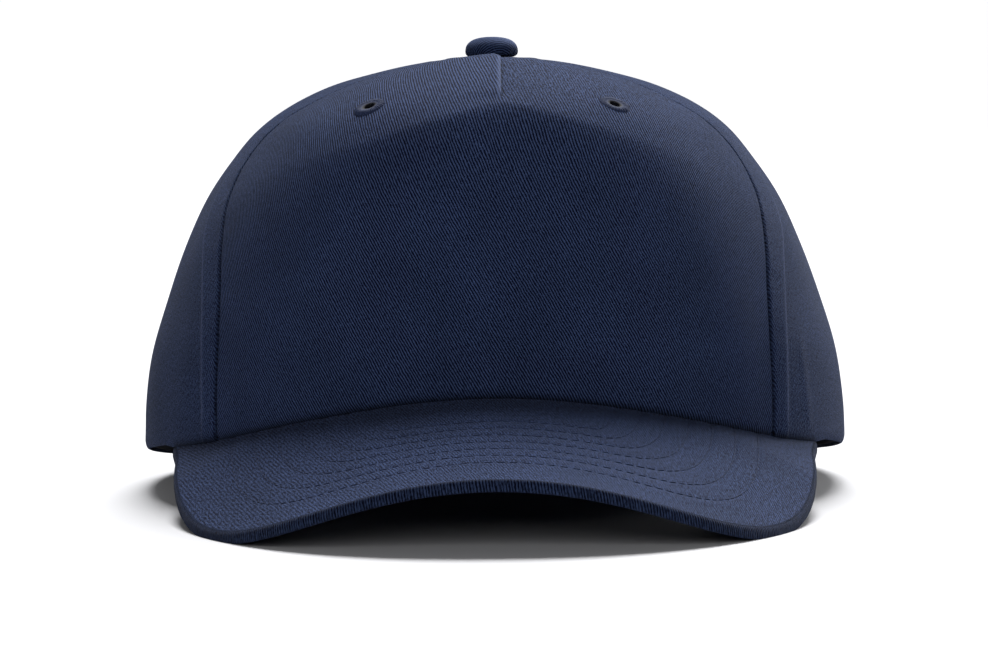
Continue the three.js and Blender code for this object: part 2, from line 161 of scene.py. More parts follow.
def section_at(level):
    """The section's columns at levels from 0, the rim, to 1, the button."""
    last = len(SECTIONS) - 1
    place = np.clip(np.asarray(level, float), 0, 1) * last
    start = np.minimum(place.astype(int), last - 1)
    t = place - start
    section = {}
    for i, name in enumerate(SECTION_COLUMNS):
        column = SECTIONS[:, i]
        past = (-1 if name in ("width", "front", "back") else 1) * column[last - 1]
        padded = np.concatenate([column[:1], column, [past]])
        a, b, c, d = (padded[start + k] for k in range(4))
        section[name] = 0.5 * (
            2 * b + (c - a) * t + (2 * a - 5 * b + 4 * c - d) * t**2 + (3 * b - a - 3 * c + d) * t**3
        )
    return section


def section_point(azimuth, section):
    turn = np.radians(azimuth)
    across, ahead = np.sin(turn), np.cos(turn)
    front = ahead > 0
    power = 2 / np.where(front, section["front_corner"], section["back_corner"])
    reach = np.where(front, CROWN_FRONT_REACH * section["front"], CROWN_BACK_REACH * section["back"])
    return CROWN_WIDTH / 2 * section["width"] * signed_power(across, power), -reach * signed_power(ahead, power)


def azimuth_at(x, section, corner):
    """The azimuth on the way from front or back to the side at which a section reaches x."""
    share = np.minimum(np.abs(x) / (CROWN_WIDTH / 2 * section["width"]), 1)
    return np.sign(x) * np.degrees(np.arcsin(share ** (section[corner] / 2)))


def peak_top(x, y):
    middle = PEAK_SEAM_HEIGHT + math.tan(math.radians(PEAK_SLOPE_DEG)) * (y + CROWN_FRONT_REACH)
    forward = np.clip(-y / PEAK_SAG_GAIN_START - 1, 0, 1) ** PEAK_SAG_GAIN_POWER
    aside = np.abs(x) / PEAK_HALF_WIDTH
    return middle - PEAK_SAG * aside**2 - PEAK_SAG_GAIN * forward * aside**PEAK_SAG_GAIN_SPREAD


def rim_plane(y):
    return -math.tan(math.radians(RIM_TILT_DEG)) * y


def peak_edge(turn, corner=PEAK_CORNER):
    """The peak's front edge from above, at turns from a quarter to the left to a quarter to the right."""
    reach = CROWN_FRONT_REACH + PEAK_LENGTH - PEAK_SHOULDER
    x = PEAK_HALF_WIDTH * signed_power(np.sin(turn), 2 / corner)
    return x, -PEAK_SHOULDER - reach * np.maximum(np.cos(turn), 0) ** (2 / corner)


HEM_PIVOT = (FLAT_HEM_START, rim_plane(FLAT_HEM_START))


def table_slope():
    """The slope of the floor under the worn cap, from its flat hem to the lowest corners of the peak."""
    share = np.linspace(-1, 1, 37)[:, None]
    edge_x, edge_y = peak_edge(share * math.pi / 2)
    foot_x, foot_y = section_point(share * PEAK_END_DEG, section_at(0))
    inward = 1 - FRONT_WALL / np.hypot(foot_x, foot_y)
    length = np.hypot(edge_x - foot_x * inward, edge_y - foot_y * inward)
    along = np.arange(7)[None, :] / 6 * (1 - PEAK_EDGE_ROUND / length)
    x = foot_x * inward + (edge_x - foot_x * inward) * along
    y = foot_y * inward + (edge_y - foot_y * inward) * along
    z = peak_top(x, y) - PEAK_THICKNESS
    return float(np.max((HEM_PIVOT[1] - z - PEAK_FOOT_FLAT) / (HEM_PIVOT[0] - y)))


SLOPE = table_slope()


def table_plane(y):
    return HEM_PIVOT[1] + SLOPE * (y - HEM_PIVOT[0])


def rim_height(azimuth, x, y, gap=CLOTH_GAP):
    turned = np.abs(azimuth)
    turned = np.where(turned > 180, 360 - turned, turned)
    plain = np.maximum(rim_plane(y), table_plane(y))
    past = smooth(turned, PEAK_END_DEG, PEAK_END_DEG + RIM_BLEND_DEG)
    return (peak_top(x, y) + gap) * (1 - past) + plain * past


def crown_surface(azimuth, level):
    azimuth, level = np.broadcast_arrays(np.asarray(azimuth, float), np.asarray(level, float))
    section = section_at(level)
    foot = section_point(azimuth, section_at(np.zeros_like(level)))
    x, y = section_point(azimuth, section)
    rim = rim_height(azimuth, *foot)
    return np.stack([x, y, rim + (CROWN_HEIGHT - rim) * section["rise"]], axis=-1)


def unit(vectors):
    return vectors / np.maximum(np.linalg.norm(vectors, axis=-1, keepdims=True), 1e-12)


def crown_normal(azimuth, level):
    across = crown_surface(azimuth + 0.7, level) - crown_surface(azimuth - 0.7, level)
    upward = crown_surface(azimuth, np.minimum(level + 1e-3, 1)) - crown_surface(azimuth, np.maximum(level - 1e-3, 0))
    return unit(np.cross(across, upward))


def level_where(name, value):
    levels = np.linspace(0, 1, 4001)
    column = section_at(levels)[name]
    order = np.argsort(column)
    return np.interp(value, column[order], levels[order])


TOP_LEVEL = float(level_where("width", BUTTON_HOLE_RADIUS / (CROWN_WIDTH / 2)))
BASE = section_at(0.0)


def facing_down(directions):
    """The worn cap's directions as they are in the frame, with the cap tipped back onto the floor."""
    tilt = -math.atan(SLOPE)
    x, y, z = np.moveaxis(directions, -1, 0)
    return np.stack([x, y * math.cos(tilt) - z * math.sin(tilt), y * math.sin(tilt) + z * math.cos(tilt)], -1)


def set_down(points):
    """The worn cap's millimetres to the frame's metres."""
    return (facing_down(points - (0, *HEM_PIVOT)) + (0, REST_SHIFT, 0)) * MM


def rest_shift():
    """How far the frame lies from the hem's pivot along y, from the tip of the peak in the frame."""
    tip_y = -CROWN_FRONT_REACH - PEAK_LENGTH
    tip_z = peak_top(0.0, tip_y) - PEAK_THICKNESS + PEAK_TIP_TRIM
    tip = facing_down(np.array([0, tip_y, tip_z]) - (0, *HEM_PIVOT))
    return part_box("peak")[0][1] / MM - tip[1]


REST_SHIFT = rest_shift()


# Meshes

def add_object(name, data):
    """A new object at the origin for a mesh, a light or a camera."""
    obj = bpy.data.objects.new(name, data)
    bpy.context.scene.collection.objects.link(obj)
    return obj


def set_attribute(mesh, name, values):
    """One value for each vertex: a number, or a vector where values has rows of three."""
    values = np.ascontiguousarray(values, np.float32)
    kind, key = ("FLOAT_VECTOR", "vector") if values.ndim == 2 else ("FLOAT", "value")
    mesh.attributes.new(name, kind, "POINT").data.foreach_set(key, values.ravel())


def make_mesh(name, points, faces, weave, rubbed, ribs, sharp_deg=50):
    """A smooth-shaded object at the origin, from worn millimetres.

    weave holds the cloth's own coordinates in millimetres. The values after it paint light into the cloth's colour: a
    painted highlight above zero, painted shade below zero. ribs says how crisply the twill's ribs stand.
    """
    mesh = bpy.data.meshes.new(name)
    mesh.from_pydata(set_down(points).tolist(), [], faces)
    set_attribute(mesh, "weave_mm", weave)
    set_attribute(mesh, "rubbed", np.ravel(rubbed))
    set_attribute(mesh, "ribs", np.ravel(ribs))
    mesh.shade_smooth()
    mesh.set_sharp_from_angle(angle=math.radians(sharp_deg))
    mesh.update()
    return add_object(name, mesh)


def points_inwards(points, faces):
    """Whether a closed mesh of quads is inside out, from the sign of the volume it encloses."""
    a, b, c = (points[faces[:, k]] for k in range(3))
    return np.einsum("ij,ij->i", a, np.cross(b, c)).sum() < 0


def quads_of(at):
    """The quads between the neighbouring columns and rows of a grid of point numbers."""
    return np.stack([at[:-1, :-1], at[1:, :-1], at[1:, 1:], at[:-1, 1:]], -1).reshape(-1, 4)


def closed_quads(at):
    """The quads of a grid whose last column meets its first."""
    return quads_of(np.concatenate([at, at[:1]]))


def turned_profile(radius, height, sides):
    """Points of a profile turned round z in equal steps, by sides and rows."""
    turn = (np.arange(sides) / sides * 2 * math.pi)[:, None]
    return np.stack(np.broadcast_arrays(radius * np.cos(turn), radius * np.sin(turn), height), -1)


def shell(name, outer, inner, weave, rubbed=None, ribs=1.0):
    """A closed wall between two grids of points of the same columns and rows."""
    columns, rows = outer.shape[:2]
    count = columns * rows
    at = np.arange(count).reshape(columns, rows)
    ring = np.concatenate([at[:, 0], at[-1, 1:], at[-2::-1, -1], at[0, -2:0:-1]])
    after = np.roll(ring, -1)
    faces = np.concatenate([
        quads_of(at), quads_of(at)[:, [0, 3, 2, 1]] + count, np.stack([after, ring, ring + count, after + count], -1),
    ])
    points = np.concatenate([outer.reshape(-1, 3), inner.reshape(-1, 3)])
    if points_inwards(points, faces):
        faces = faces[:, ::-1]
    cloth = np.zeros((2 * count, 3))
    cloth[:count, :2] = cloth[count:, :2] = weave.reshape(-1, 2)
    # Painted light, highlight above zero and shade below, goes on the outer face only.
    painted_light_amount = np.zeros(2 * count)
    if rubbed is not None:
        painted_light_amount[:count] = rubbed.ravel()
    crisp = np.tile(np.broadcast_to(ribs, outer.shape[:2]).ravel(), 2)
    return make_mesh(name, points, faces.tolist(), cloth, painted_light_amount, crisp)


def along(points):
    """Length along the first axis of a grid of points."""
    steps = np.linalg.norm(np.diff(points, axis=0), axis=-1)
    return np.concatenate([np.zeros((1,) + steps.shape[1:]), np.cumsum(steps, axis=0)])


def levels_by_length(azimuth, near_rim, spacing):
    """Levels up the crown, first at set heights above the rim and then evenly spaced."""
    fine = np.linspace(0, TOP_LEVEL, 3000)
    length = along(crown_surface(np.full_like(fine, azimuth), fine))
    rest = np.linspace(near_rim[-1], length[-1], max(int((length[-1] - near_rim[-1]) / spacing), 2))
    return np.interp(np.concatenate([near_rim, rest[1:]]), length, fine)


def strip_columns(first, last, levels, near_first, near_last, count, stretch=None):
    """Columns between two seams: set distances from each, even ones between. Returns azimuths and distances.

    stretch multiplies the distances from the first seam, level by level.
    """
    azimuths, from_first, from_last = [], [], []
    stretch = np.ones(len(levels)) if stretch is None else stretch
    for a, b, level, more in zip(first, last, levels, stretch):
        fine = np.linspace(a, b, 500)
        length = along(crown_surface(fine, np.full_like(fine, level)))
        width = length[-1]
        squeeze = min(1.0, width / (more * near_first[-1] + near_last[-1]) / 1.6)
        start, end = more * near_first * squeeze, width - near_last[::-1] * squeeze
        stops = np.concatenate([start, np.linspace(start[-1], end[0], count + 1)[1:-1], end])
        azimuths.append(np.interp(stops, length, fine))
        from_first.append(stops)
        from_last.append(width - stops)
    return tuple(np.array(values).T for values in (azimuths, from_first, from_last))


# How far the first rows and columns of points lie from a rim, a seam, the side fold (as shares of its distance from the
# seam) and the dart.
NEAR_RIM = np.array([0, 0.25, 0.55, 0.9, 1.3, 1.8, 2.4, 3.2, 4.2])
NEAR_SEAM = np.array([0, 0.12, 0.28, 0.48, 0.75, 1.1, 1.6, 2.3, 3.2])
NEAR_FOLD = np.array([
    0, 0.015, 0.034, 0.058, 0.09, 0.13, 0.19, 0.28, 0.4, 0.53, 0.66, 0.77, 0.86, 0.92, 0.96, 1, 1.04, 1.09, 1.16, 1.26,
    1.4,
])
NEAR_DART = np.array([0.03, 0.1, 0.2, 0.35, 0.55, 0.85, 1.3, 2, 3])


def cloth_waves(u, v, size, seed):
    """Soft unevenness of hanging cloth, the same on every run."""
    rng = np.random.default_rng(seed)
    total = np.zeros_like(u)
    for _ in range(7):
        wavelength = size * rng.uniform(0.6, 1.8)
        turn, phase = rng.uniform(0, math.pi), rng.uniform(0, 2 * math.pi)
        total += np.sin(2 * math.pi * (u * math.cos(turn) + v * math.sin(turn)) / wavelength + phase)
    return total / 7


def pucker(distance, v, seed):
    """Small ripples that the thread pulls into cloth beside a seam."""
    rng = np.random.default_rng(seed)
    wave = np.zeros_like(v)
    for wavelength in (5.2, 7.9, 12.5):
        wave += np.sin(2 * math.pi * v / wavelength + rng.uniform(0, 6.28))
    return wave / 3 * np.exp(-((distance - 2.5) / 3.2) ** 2)


def hump(distance, width):
    """A soft hump, 1 in the middle and nearly gone at twice its width."""
    return np.exp(-((distance / width) ** 2))


def seam_lift(distance, v, depth, seed):
    """How cloth lies beside a seam: sunk at the stitches and puckered next to them."""
    sunk = SEAM_SINK * np.exp(-distance / SEAM_SINK_WIDTH)
    return depth * pucker(distance, v, seed) * smooth(distance, 0, 1.5) - sunk


def rim_roll(height):
    """How far the turned-in lower edge draws back."""
    t = np.clip(1 - height / RIM_ROLL_HEIGHT, 0, 1)
    return RIM_ROLL * (1 - np.sqrt(np.maximum(1 - t**2, 0)))


def beside_seam(azimuth, section, way):
    """The azimuth half a gap to one side of a seam's."""
    return azimuth + way * np.degrees(CLOTH_GAP / 2 / np.hypot(*section_point(azimuth, section)))


def crown_panel(name, azimuth, levels, lift, thickness, weave, rubbed=None, ribs=1.0):
    """A panel of the crown whose cloth stands out by lift, down to the rim's true height."""
    base, normal = crown_surface(azimuth, levels), crown_normal(azimuth, levels)
    outer = base + normal * lift[..., None]
    inner = base - normal * thickness
    for points in (outer, inner):
        points[:, 0, 2] = rim_height(azimuth[:, 0], points[:, 0, 0], points[:, 0, 1])
    # The painted shade goes no darker than its set limit.
    if rubbed is not None:
        rubbed = np.maximum(rubbed, DARKEST_PAINTED_SHADE)
    return shell(name, outer, inner, np.stack(weave, -1), rubbed, ribs)


def pinch(aside, z):
    """The break that the dart pulls into the stiff front: a crease across its end, with a hollow under it."""
    crease = PINCH_HEIGHT - 0.25 * (np.sqrt(aside**2 + 16) - 4)
    above, below = np.maximum(z - crease, 0), np.maximum(crease - z, 0)
    blunt = 0.8 + (aside / 16) ** 2
    rounded = np.sqrt(below**2 + blunt**2) - blunt
    ridge = PINCH_LIFT * np.exp(-((aside / 40) ** 2)) * np.exp(-above / 6.5) * np.exp(-rounded / 9)
    hollow = PINCH_HOLLOW * np.exp(-(((aside - 3) / 13) ** 2)) * np.exp(-(((z - PINCH_HEIGHT + 10) / 8) ** 2))
    return ridge - hollow


def front_panel_grid():
    levels = levels_by_length(0.0, NEAR_RIM, 1.15)
    section = section_at(levels)
    seam = beside_seam(section["front_seam"], section, -1)
    narrow = np.minimum(section["width"] * CROWN_WIDTH / 2 / DART_NARROWS, 1)
    dart = azimuth_at(DART_OFFSET * narrow, section, "front_corner")
    left, left_seam, left_dart = strip_columns(-seam, dart, levels, NEAR_SEAM, NEAR_DART, 66)
    right, right_dart, right_seam = strip_columns(dart, seam, levels, NEAR_DART, NEAR_SEAM, 64)
    azimuth = np.concatenate([left, right])
    from_seam = np.concatenate([left_seam, right_seam])
    from_dart = np.concatenate([-left_dart, right_dart])
    return levels, azimuth, from_seam, from_dart


def make_front_panel():
    levels, azimuth, from_seam, from_dart = front_panel_grid()
    rise = section_at(np.broadcast_to(levels, azimuth.shape))["rise"]
    base = crown_surface(azimuth, levels)
    z = base[..., 2]
    height = along(np.swapaxes(base, 0, 1)).T
    across = along(base)
    u = across - across[np.argmin(np.abs(base[:, :, 0]), axis=0), np.arange(base.shape[1])]
    v = np.broadcast_to(height[azimuth.shape[0] // 2], u.shape)

    open_dart = smooth(rise, DART_FOLD_RISE - 0.012, DART_FOLD_RISE + 0.014)
    near_top = smooth(np.hypot(base[..., 0], base[..., 1]), 4, 12)
    left_of_dart, right_of_dart = from_dart < 0, from_dart > 0
    fold = np.where(
        left_of_dart,
        DART_BULGE * np.exp(from_dart / 7) * (1 - 0.55 * np.exp(from_dart / 0.35)),
        -DART_SINK * np.exp(-from_dart / 3.2),
    )
    lift = fold * open_dart * near_top
    lift += pinch(u - DART_OFFSET, z)
    lift += seam_lift(from_seam, v, FRONT_PUCKER, seed=3)
    lift += 0.28 * cloth_waves(u, v, size=46, seed=11) * smooth(from_seam, 0, 12) * smooth(height, 0, 14) * near_top
    lift -= rim_roll(height)

    # Painted highlight along the dart's folded left edge. Painted shade in the fold right of the dart, beside the seams
    # and along the turned-under hem above the peak.
    rubbed = 0.55 * hump(from_dart + 0.5, 0.5) * open_dart * left_of_dart
    rubbed -= 0.55 * hump(from_dart, 0.45) * open_dart * right_of_dart
    rubbed -= 0.6 * hump(from_seam, 0.45) + 0.75 * hump(height, 1.5)
    # The weave follows the height, less so above 66 mm where the front turns over. Its ribs soften right of the dart.
    upright = z - 0.36 * 5 * np.log1p(np.exp((z - 66) / 5))
    ribs = 1 - 0.6 * smooth(z, 84, 92) * smooth(from_dart, -0.3, 0.6)
    return crown_panel("front_panel_twill", azimuth, levels, lift, FRONT_WALL, (u, upright), rubbed, ribs)


def fold_distance(first, side, levels):
    """How far behind the front seam each level of a side panel passes the line of the fold."""
    distances = []
    for azimuth, level in zip(first, levels):
        fine = np.linspace(azimuth, side * 92.0, 300)
        line = crown_surface(fine, np.full_like(fine, level))
        distances.append(np.interp(FOLD_X, np.abs(line[:, 0]), along(line)))
    distances = np.clip(distances, 3.0, 12.0)
    return np.convolve(np.pad(distances, 3, mode="edge"), np.ones(7) / 7, mode="valid")


def make_side_panel(name, side):
    levels = levels_by_length(side * 80.0, NEAR_RIM, 1.2)
    section = section_at(levels)
    first = side * beside_seam(section["front_seam"], section, 1)
    last = side * beside_seam(section["back_seam"], section, -1)
    fold = fold_distance(first, side, levels)
    azimuth, from_front, from_back = strip_columns(first, last, levels, NEAR_FOLD, NEAR_SEAM, 72, fold)
    base = crown_surface(azimuth, levels)
    z = base[..., 2]
    height = along(np.swapaxes(base, 0, 1)).T
    v = np.broadcast_to(height[azimuth.shape[0] // 2], azimuth.shape)
    u = side * from_front

    present = 1 - smooth(z, FOLD_TOP - 8, FOLD_TOP + 22)
    crest = fold[None, :] + 0.12 * np.sin(v / 17 + side) + 0.08 * np.sin(v / 7.3)
    lift = (FOLD_AT_SEAM + (FOLD_CREST - FOLD_AT_SEAM) * smooth(from_front, 0, crest) ** 0.8) * present
    lift *= 1 - smooth(from_front, crest - 0.15, crest + 1.5)
    lift += seam_lift(from_front, v, FRONT_PUCKER, seed=5 + side)
    lift += seam_lift(from_back, v, BACK_PUCKER, seed=8 + side)
    inside = smooth(from_front, 8, 20) * smooth(from_back, 0, 12) * smooth(height, 0, 10)
    lift += 0.55 * cloth_waves(u, v, size=38, seed=21 + side) * inside
    if side > 0:
        past_fold = base[..., 0] - SECOND_FOLD_X + 0.1 * (z - 8)
        lift += SECOND_FOLD_LIFT * hump(past_fold, 0.8) * smooth(height, 1, 6) * (1 - smooth(z, 22, 34))
    lift -= rim_roll(height) * THIN_ROLL

    over_peak = 1 - smooth(np.abs(azimuth), PEAK_END_DEG - 1, PEAK_END_DEG + 1)
    # Painted highlight along the crest of the folded seam allowance. Painted shade beside the front seam and along the
    # hem over the peak.
    rubbed = 0.4 * hump(from_front - crest, 0.7) * present * smooth(height, 2, 8)
    rubbed -= 0.55 * hump(from_front, 0.4) + 0.75 * hump(height, 1.5) * over_peak
    ribs = 0.35 + 0.2 * hump(from_front - 0.9, 0.9)
    return crown_panel(name, azimuth, levels, lift, SIDE_WALL, (u, v), rubbed, ribs)


def arch_half_width(z):
    """Half the opening's width at a height, and zero above it."""
    up = (z - rim_plane(CROWN_BACK_REACH) - ARCH_SPRING) / (ARCH_HEIGHT - ARCH_SPRING)
    return ARCH_HALF_WIDTH * np.sqrt(np.clip(1 - np.clip(up, 0, 1) ** 2, 0, 1))


def arch_line():
    """The opening's right-hand outline, seen from behind, from the hem to its top in the middle."""
    foot = rim_plane(CROWN_BACK_REACH)
    turn = np.linspace(0, math.pi / 2, 140)
    upright = np.linspace(-12, ARCH_SPRING, 60)[:-1]
    x = np.concatenate([np.full_like(upright, ARCH_HALF_WIDTH), ARCH_HALF_WIDTH * np.cos(turn)])
    z = np.concatenate([upright, ARCH_SPRING + (ARCH_HEIGHT - ARCH_SPRING) * np.sin(turn)])
    return np.stack([x, z + foot], -1)


def from_arch(points):
    """Distance of crown points to the opening's outline, in the plane across the back."""
    line = arch_line()
    place = np.stack([np.abs(points[..., 0]), points[..., 2]], -1)
    nearest = np.full(place.shape[:-1], 1e9)
    for corner in line:
        nearest = np.minimum(nearest, np.hypot(*np.moveaxis(place - corner, -1, 0)))
    return nearest


def back_panel_levels():
    """Levels up a back panel, close together at the rim and round the top of the opening."""
    foot = rim_plane(CROWN_BACK_REACH)
    rim = float(table_plane(CROWN_BACK_REACH))
    low_rows = np.linspace(rim + NEAR_RIM[-1], foot + ARCH_SPRING, 8)
    arch_rows = foot + ARCH_SPRING + (ARCH_HEIGHT - ARCH_SPRING) * np.sin(np.linspace(0, math.pi / 2, 46)[1:])
    above = foot + ARCH_HEIGHT + np.concatenate([NEAR_SEAM[1:], NEAR_SEAM[-1] + np.arange(1, 400) * 1.2])
    rises = (np.concatenate([rim + NEAR_RIM, low_rows[1:], arch_rows, above]) - rim) / (CROWN_HEIGHT - rim)
    rises = rises[rises < float(section_at(TOP_LEVEL)["rise"]) - 0.012]
    start = float(level_where("rise", rises[-1]))
    levels = np.concatenate([level_where("rise", rises), start + (TOP_LEVEL - start) * np.linspace(0, 1, 16)[1:]])
    levels[0] = 0
    return levels


def make_back_panel(name, side):
    levels = back_panel_levels()
    section = section_at(levels)
    first = beside_seam(section["back_seam"], section, 1)
    middle = beside_seam(np.full_like(levels, 180.0), section, -1)
    last = middle.copy()
    for _ in range(6):
        z = crown_surface(last, levels)[..., 2]
        last = np.minimum(180 - azimuth_at(arch_half_width(z), section, "back_corner"), middle)
    azimuth, from_seam, from_middle = strip_columns(side * first, side * last, levels, NEAR_SEAM, NEAR_SEAM, 52)
    base = crown_surface(azimuth, levels)
    height = along(np.swapaxes(base, 0, 1)).T
    v = np.broadcast_to(height[0], azimuth.shape)
    u = side * from_seam
    arch = from_arch(base)
    arch_top = rim_plane(CROWN_BACK_REACH) + ARCH_HEIGHT

    lift = seam_lift(from_seam, v, BACK_PUCKER, seed=31 + side)
    lift += seam_lift(from_middle, v, BACK_PUCKER, seed=35 + side) * smooth(base[..., 2], arch_top - 1, arch_top + 2)
    lift += ARCH_BINDING * (1 - smooth(arch, 6.2, 7.6)) - 0.22 * hump(arch - ARCH_STITCH_INSETS[0], 0.7)
    inside = smooth(from_seam, 0, 12) * smooth(height, 0, 10) * smooth(arch, 6, 16)
    lift += 0.5 * cloth_waves(u, v, size=40, seed=41 + side) * inside
    lift -= (rim_roll(height) + rim_roll(arch * 1.2)) * THIN_ROLL
    return crown_panel(name, azimuth, levels, lift, SIDE_WALL, (u, v), ribs=0.6)


# Peak

def peak_outline(count, corner=PEAK_CORNER):
    """The outline from the left end of the peak round the front to the right end, and the azimuth behind each."""
    edge = np.stack(peak_edge(np.linspace(-math.pi / 2, math.pi / 2, 2001), corner), -1)
    end = np.stack(section_point(PEAK_END_DEG, BASE))
    steps = np.linspace(0, 1, 60)[:-1, None]
    left = (end * (-1, 1)) * (1 - steps) + edge[0] * steps
    right = (end * (1, 1)) * (1 - steps) + edge[-1] * steps
    line = np.concatenate([left, edge, right[::-1]])
    side_share = 6.0
    azimuths = np.concatenate([
        -PEAK_END_DEG + side_share * steps[:, 0],
        (PEAK_END_DEG - side_share) * np.linspace(-1, 1, len(edge)),
        (PEAK_END_DEG - side_share * steps[:, 0])[::-1],
    ])
    length = along(line)
    stops = np.linspace(0, length[-1], count)
    return (
        np.stack([np.interp(stops, length, line[:, k]) for k in range(2)], -1),
        np.interp(stops, length, azimuths),
        stops,
    )


def outline_distance(points, line):
    nearest = np.full(points.shape[:-1], 1e9)
    for start in range(0, len(line), 40):
        gaps = points[..., None, :] - line[start:start + 40]
        nearest = np.minimum(nearest, np.sqrt((gaps**2).sum(-1)).min(-1))
    return nearest


# Across the peak's rounded edge from top to bottom: how far inside the outline and how far below the top.
PEAK_EDGE = np.array([
    (0.9, 0.0), (0.45, 0.05), (0.16, 0.2), (0.02, 0.5), (-0.04, 1.0), (-0.05, 1.5),
    (-0.04, 2.0), (0.02, 2.5), (0.16, 2.8), (0.45, 2.95), (0.9, 3.0),
])
PEAK_STITCH_ROWS = 7
PEAK_FIRST_ROW = 15.0
PEAK_ROW_SPACING = 5.75
PEAK_ROW_INSETS = PEAK_FIRST_ROW + PEAK_ROW_SPACING * np.arange(PEAK_STITCH_ROWS)
ROW_CHANNEL_DEPTH = 0.24
STITCH_CORNER = 3.0  # the rows turn more squarely than the outline does
OUTLINE_POINTS = 1400
PEAK_COLUMN_COUNT = 281
PEAK_ROW_COUNT = 104
PEAK_EDGE_PAINTED_SHADE = -0.45
PEAK_RIBS, PEAK_EDGE_RIBS = 0.3, 0.6


def peak_grid():
    outline, azimuths, stops = peak_outline(PEAK_COLUMN_COUNT)
    tangent = unit(np.gradient(outline, axis=0))
    outward = np.stack([tangent[:, 1], -tangent[:, 0]], -1)
    outward *= np.sign((outward * (outline - (0, -60))).sum(-1, keepdims=True))
    foot = np.stack(section_point(azimuths, BASE), -1)
    foot *= 1 - (FRONT_WALL + 0.4) / np.linalg.norm(foot, axis=-1, keepdims=True)
    last = outline - outward * PEAK_EDGE[0, 0]
    share = np.linspace(0, 1, PEAK_ROW_COUNT)[None, :, None]
    plan = foot[:, None] * (1 - share) + last[:, None] * share
    return outline, outward, plan, stops


def peak_rows_relief(plan, line):
    inset = outline_distance(plan, line)
    relief = 0.05 * smooth(inset, 9, 15)
    for row in PEAK_ROW_INSETS:
        relief -= ROW_CHANNEL_DEPTH * hump(inset - row, 0.7)
    relief += 0.05 * cloth_waves(plan[..., 0], plan[..., 1], size=14, seed=61) * smooth(inset, 2, 9)
    return relief, inset


def peak_end_faces(row, flip):
    """The faces that close one end of the peak, from the numbers of the points round it."""
    depth, half = PEAK_ROW_COUNT, len(PEAK_EDGE) - 2
    upper, lower = row[:depth], row[depth + half:][::-1]
    quads = np.stack([upper[:-1], upper[1:], lower[1:], lower[:-1]], -1)
    fan = [[upper[-1], row[depth], row[depth + half - 1], lower[-1]]]
    for k in range(half // 2):
        fan.append([row[depth + k], row[depth + k + 1], row[depth + half - 2 - k], row[depth + half - 1 - k]])
    ends = np.concatenate([quads, np.array([quad for quad in fan if len(set(quad)) == 4])])
    return ends[:, ::-1] if flip else ends


def make_peak():
    outline, outward, plan, _ = peak_grid()
    relief = peak_rows_relief(plan, peak_outline(OUTLINE_POINTS, STITCH_CORNER)[0])[0]
    x, y = plan[..., 0], plan[..., 1]
    top = np.stack([x, y, peak_top(x, y) + relief], -1)
    under = np.stack([x, y, np.maximum(peak_top(x, y) - PEAK_THICKNESS - 0.6 * relief, table_plane(y))], -1)
    brim = []
    for inward, drop in PEAK_EDGE[1:-1]:
        x, y = (outline - outward * inward).T
        brim.append(np.stack([x, y, np.maximum(peak_top(x, y) - drop, table_plane(y))], -1))
    brim = np.stack(brim, 1)
    around = np.concatenate([top, brim, under[:, ::-1]], axis=1)
    columns, rows = around.shape[:2]
    at = np.arange(columns * rows).reshape(columns, rows)
    faces = np.concatenate([
        quads_of(np.concatenate([at, at[:, :1]], axis=1)), peak_end_faces(at[0], False), peak_end_faces(at[-1], True),
    ])
    points = around.reshape(-1, 3)
    if points_inwards(points, faces):
        faces = faces[:, ::-1]

    edge = slice(PEAK_ROW_COUNT, PEAK_ROW_COUNT + brim.shape[1])
    weave = np.concatenate([around[..., :2], np.zeros((columns, rows, 1))], -1)
    weave[:, edge, 0] = along(outline)[:, None]
    weave[:, edge, 1] = 0.3 * brim[..., 2]
    weave[:, :edge.start, 1] *= 0.5
    weave[:, edge.stop:, 1] *= 0.5
    # The rounded front edge carries painted shade, for the shade it sits in as it faces forward and down.
    dark, ribs = np.zeros((columns, rows)), np.full((columns, rows), PEAK_RIBS)
    dark[:, edge], ribs[:, edge] = PEAK_EDGE_PAINTED_SHADE, PEAK_EDGE_RIBS
    return make_mesh("peak_twill", points, faces.tolist(), weave.reshape(-1, 3), dark, ribs)


# Bands inside the crown

def band(name, first, last, bottom, top, depth, thickness, wave):
    """A strip of cloth with rounded edges inside the crown, between two azimuths and two heights."""
    columns = int((last - first) * 1.1)
    azimuth = np.linspace(first, last, columns)
    edge = np.array([0, 0.12, 0.35, 0.7, 1.2])
    between = np.linspace(bottom + edge[-1], top - edge[-1], int(top - bottom) + 1)[1:-1]
    heights = np.concatenate([bottom + edge, between, top - edge[::-1]])
    azimuth, heights = np.meshgrid(azimuth, heights, indexing="ij")
    foot = np.stack(section_point(azimuth, BASE), -1)
    rim = rim_height(azimuth, foot[..., 0], foot[..., 1])
    level = level_where("rise", heights / (CROWN_HEIGHT - rim))
    base = crown_surface(azimuth, level)
    normal = crown_normal(azimuth, level)
    from_edge = np.minimum(heights - bottom, top - heights)
    round_off = thickness / 2 * (1 - np.sqrt(np.clip(1 - np.clip(1 - from_edge / (thickness * 0.9), 0, 1) ** 2, 0, 1)))
    u = along(base)
    ripple = wave * cloth_waves(u, heights, size=30, seed=71) * smooth(from_edge, 0, 6)
    outer = base - normal * (depth + round_off)[..., None]
    inner = base - normal * (depth + thickness - round_off + np.minimum(ripple, 0.2))[..., None]
    return shell(name, outer, inner, np.stack([u, heights], -1))


def make_sweatband():
    reach = 180 - float(azimuth_at(ARCH_HALF_WIDTH + STRAP_TUCK + STRAP_END_GAP, BASE, "back_corner"))
    return band("sweatband_cloth", -reach, reach, BAND_BOTTOM, BAND_HEIGHT, BAND_DEPTH, BAND_WALL, 0.25)


def make_strap():
    reach = float(azimuth_at(ARCH_HALF_WIDTH + STRAP_TUCK, BASE, "back_corner"))
    return band("back_strap_twill", 180 - reach, 180 + reach, STRAP_BOTTOM, STRAP_HEIGHT, STRAP_DEPTH, STRAP_WALL, 0.0)


# Button

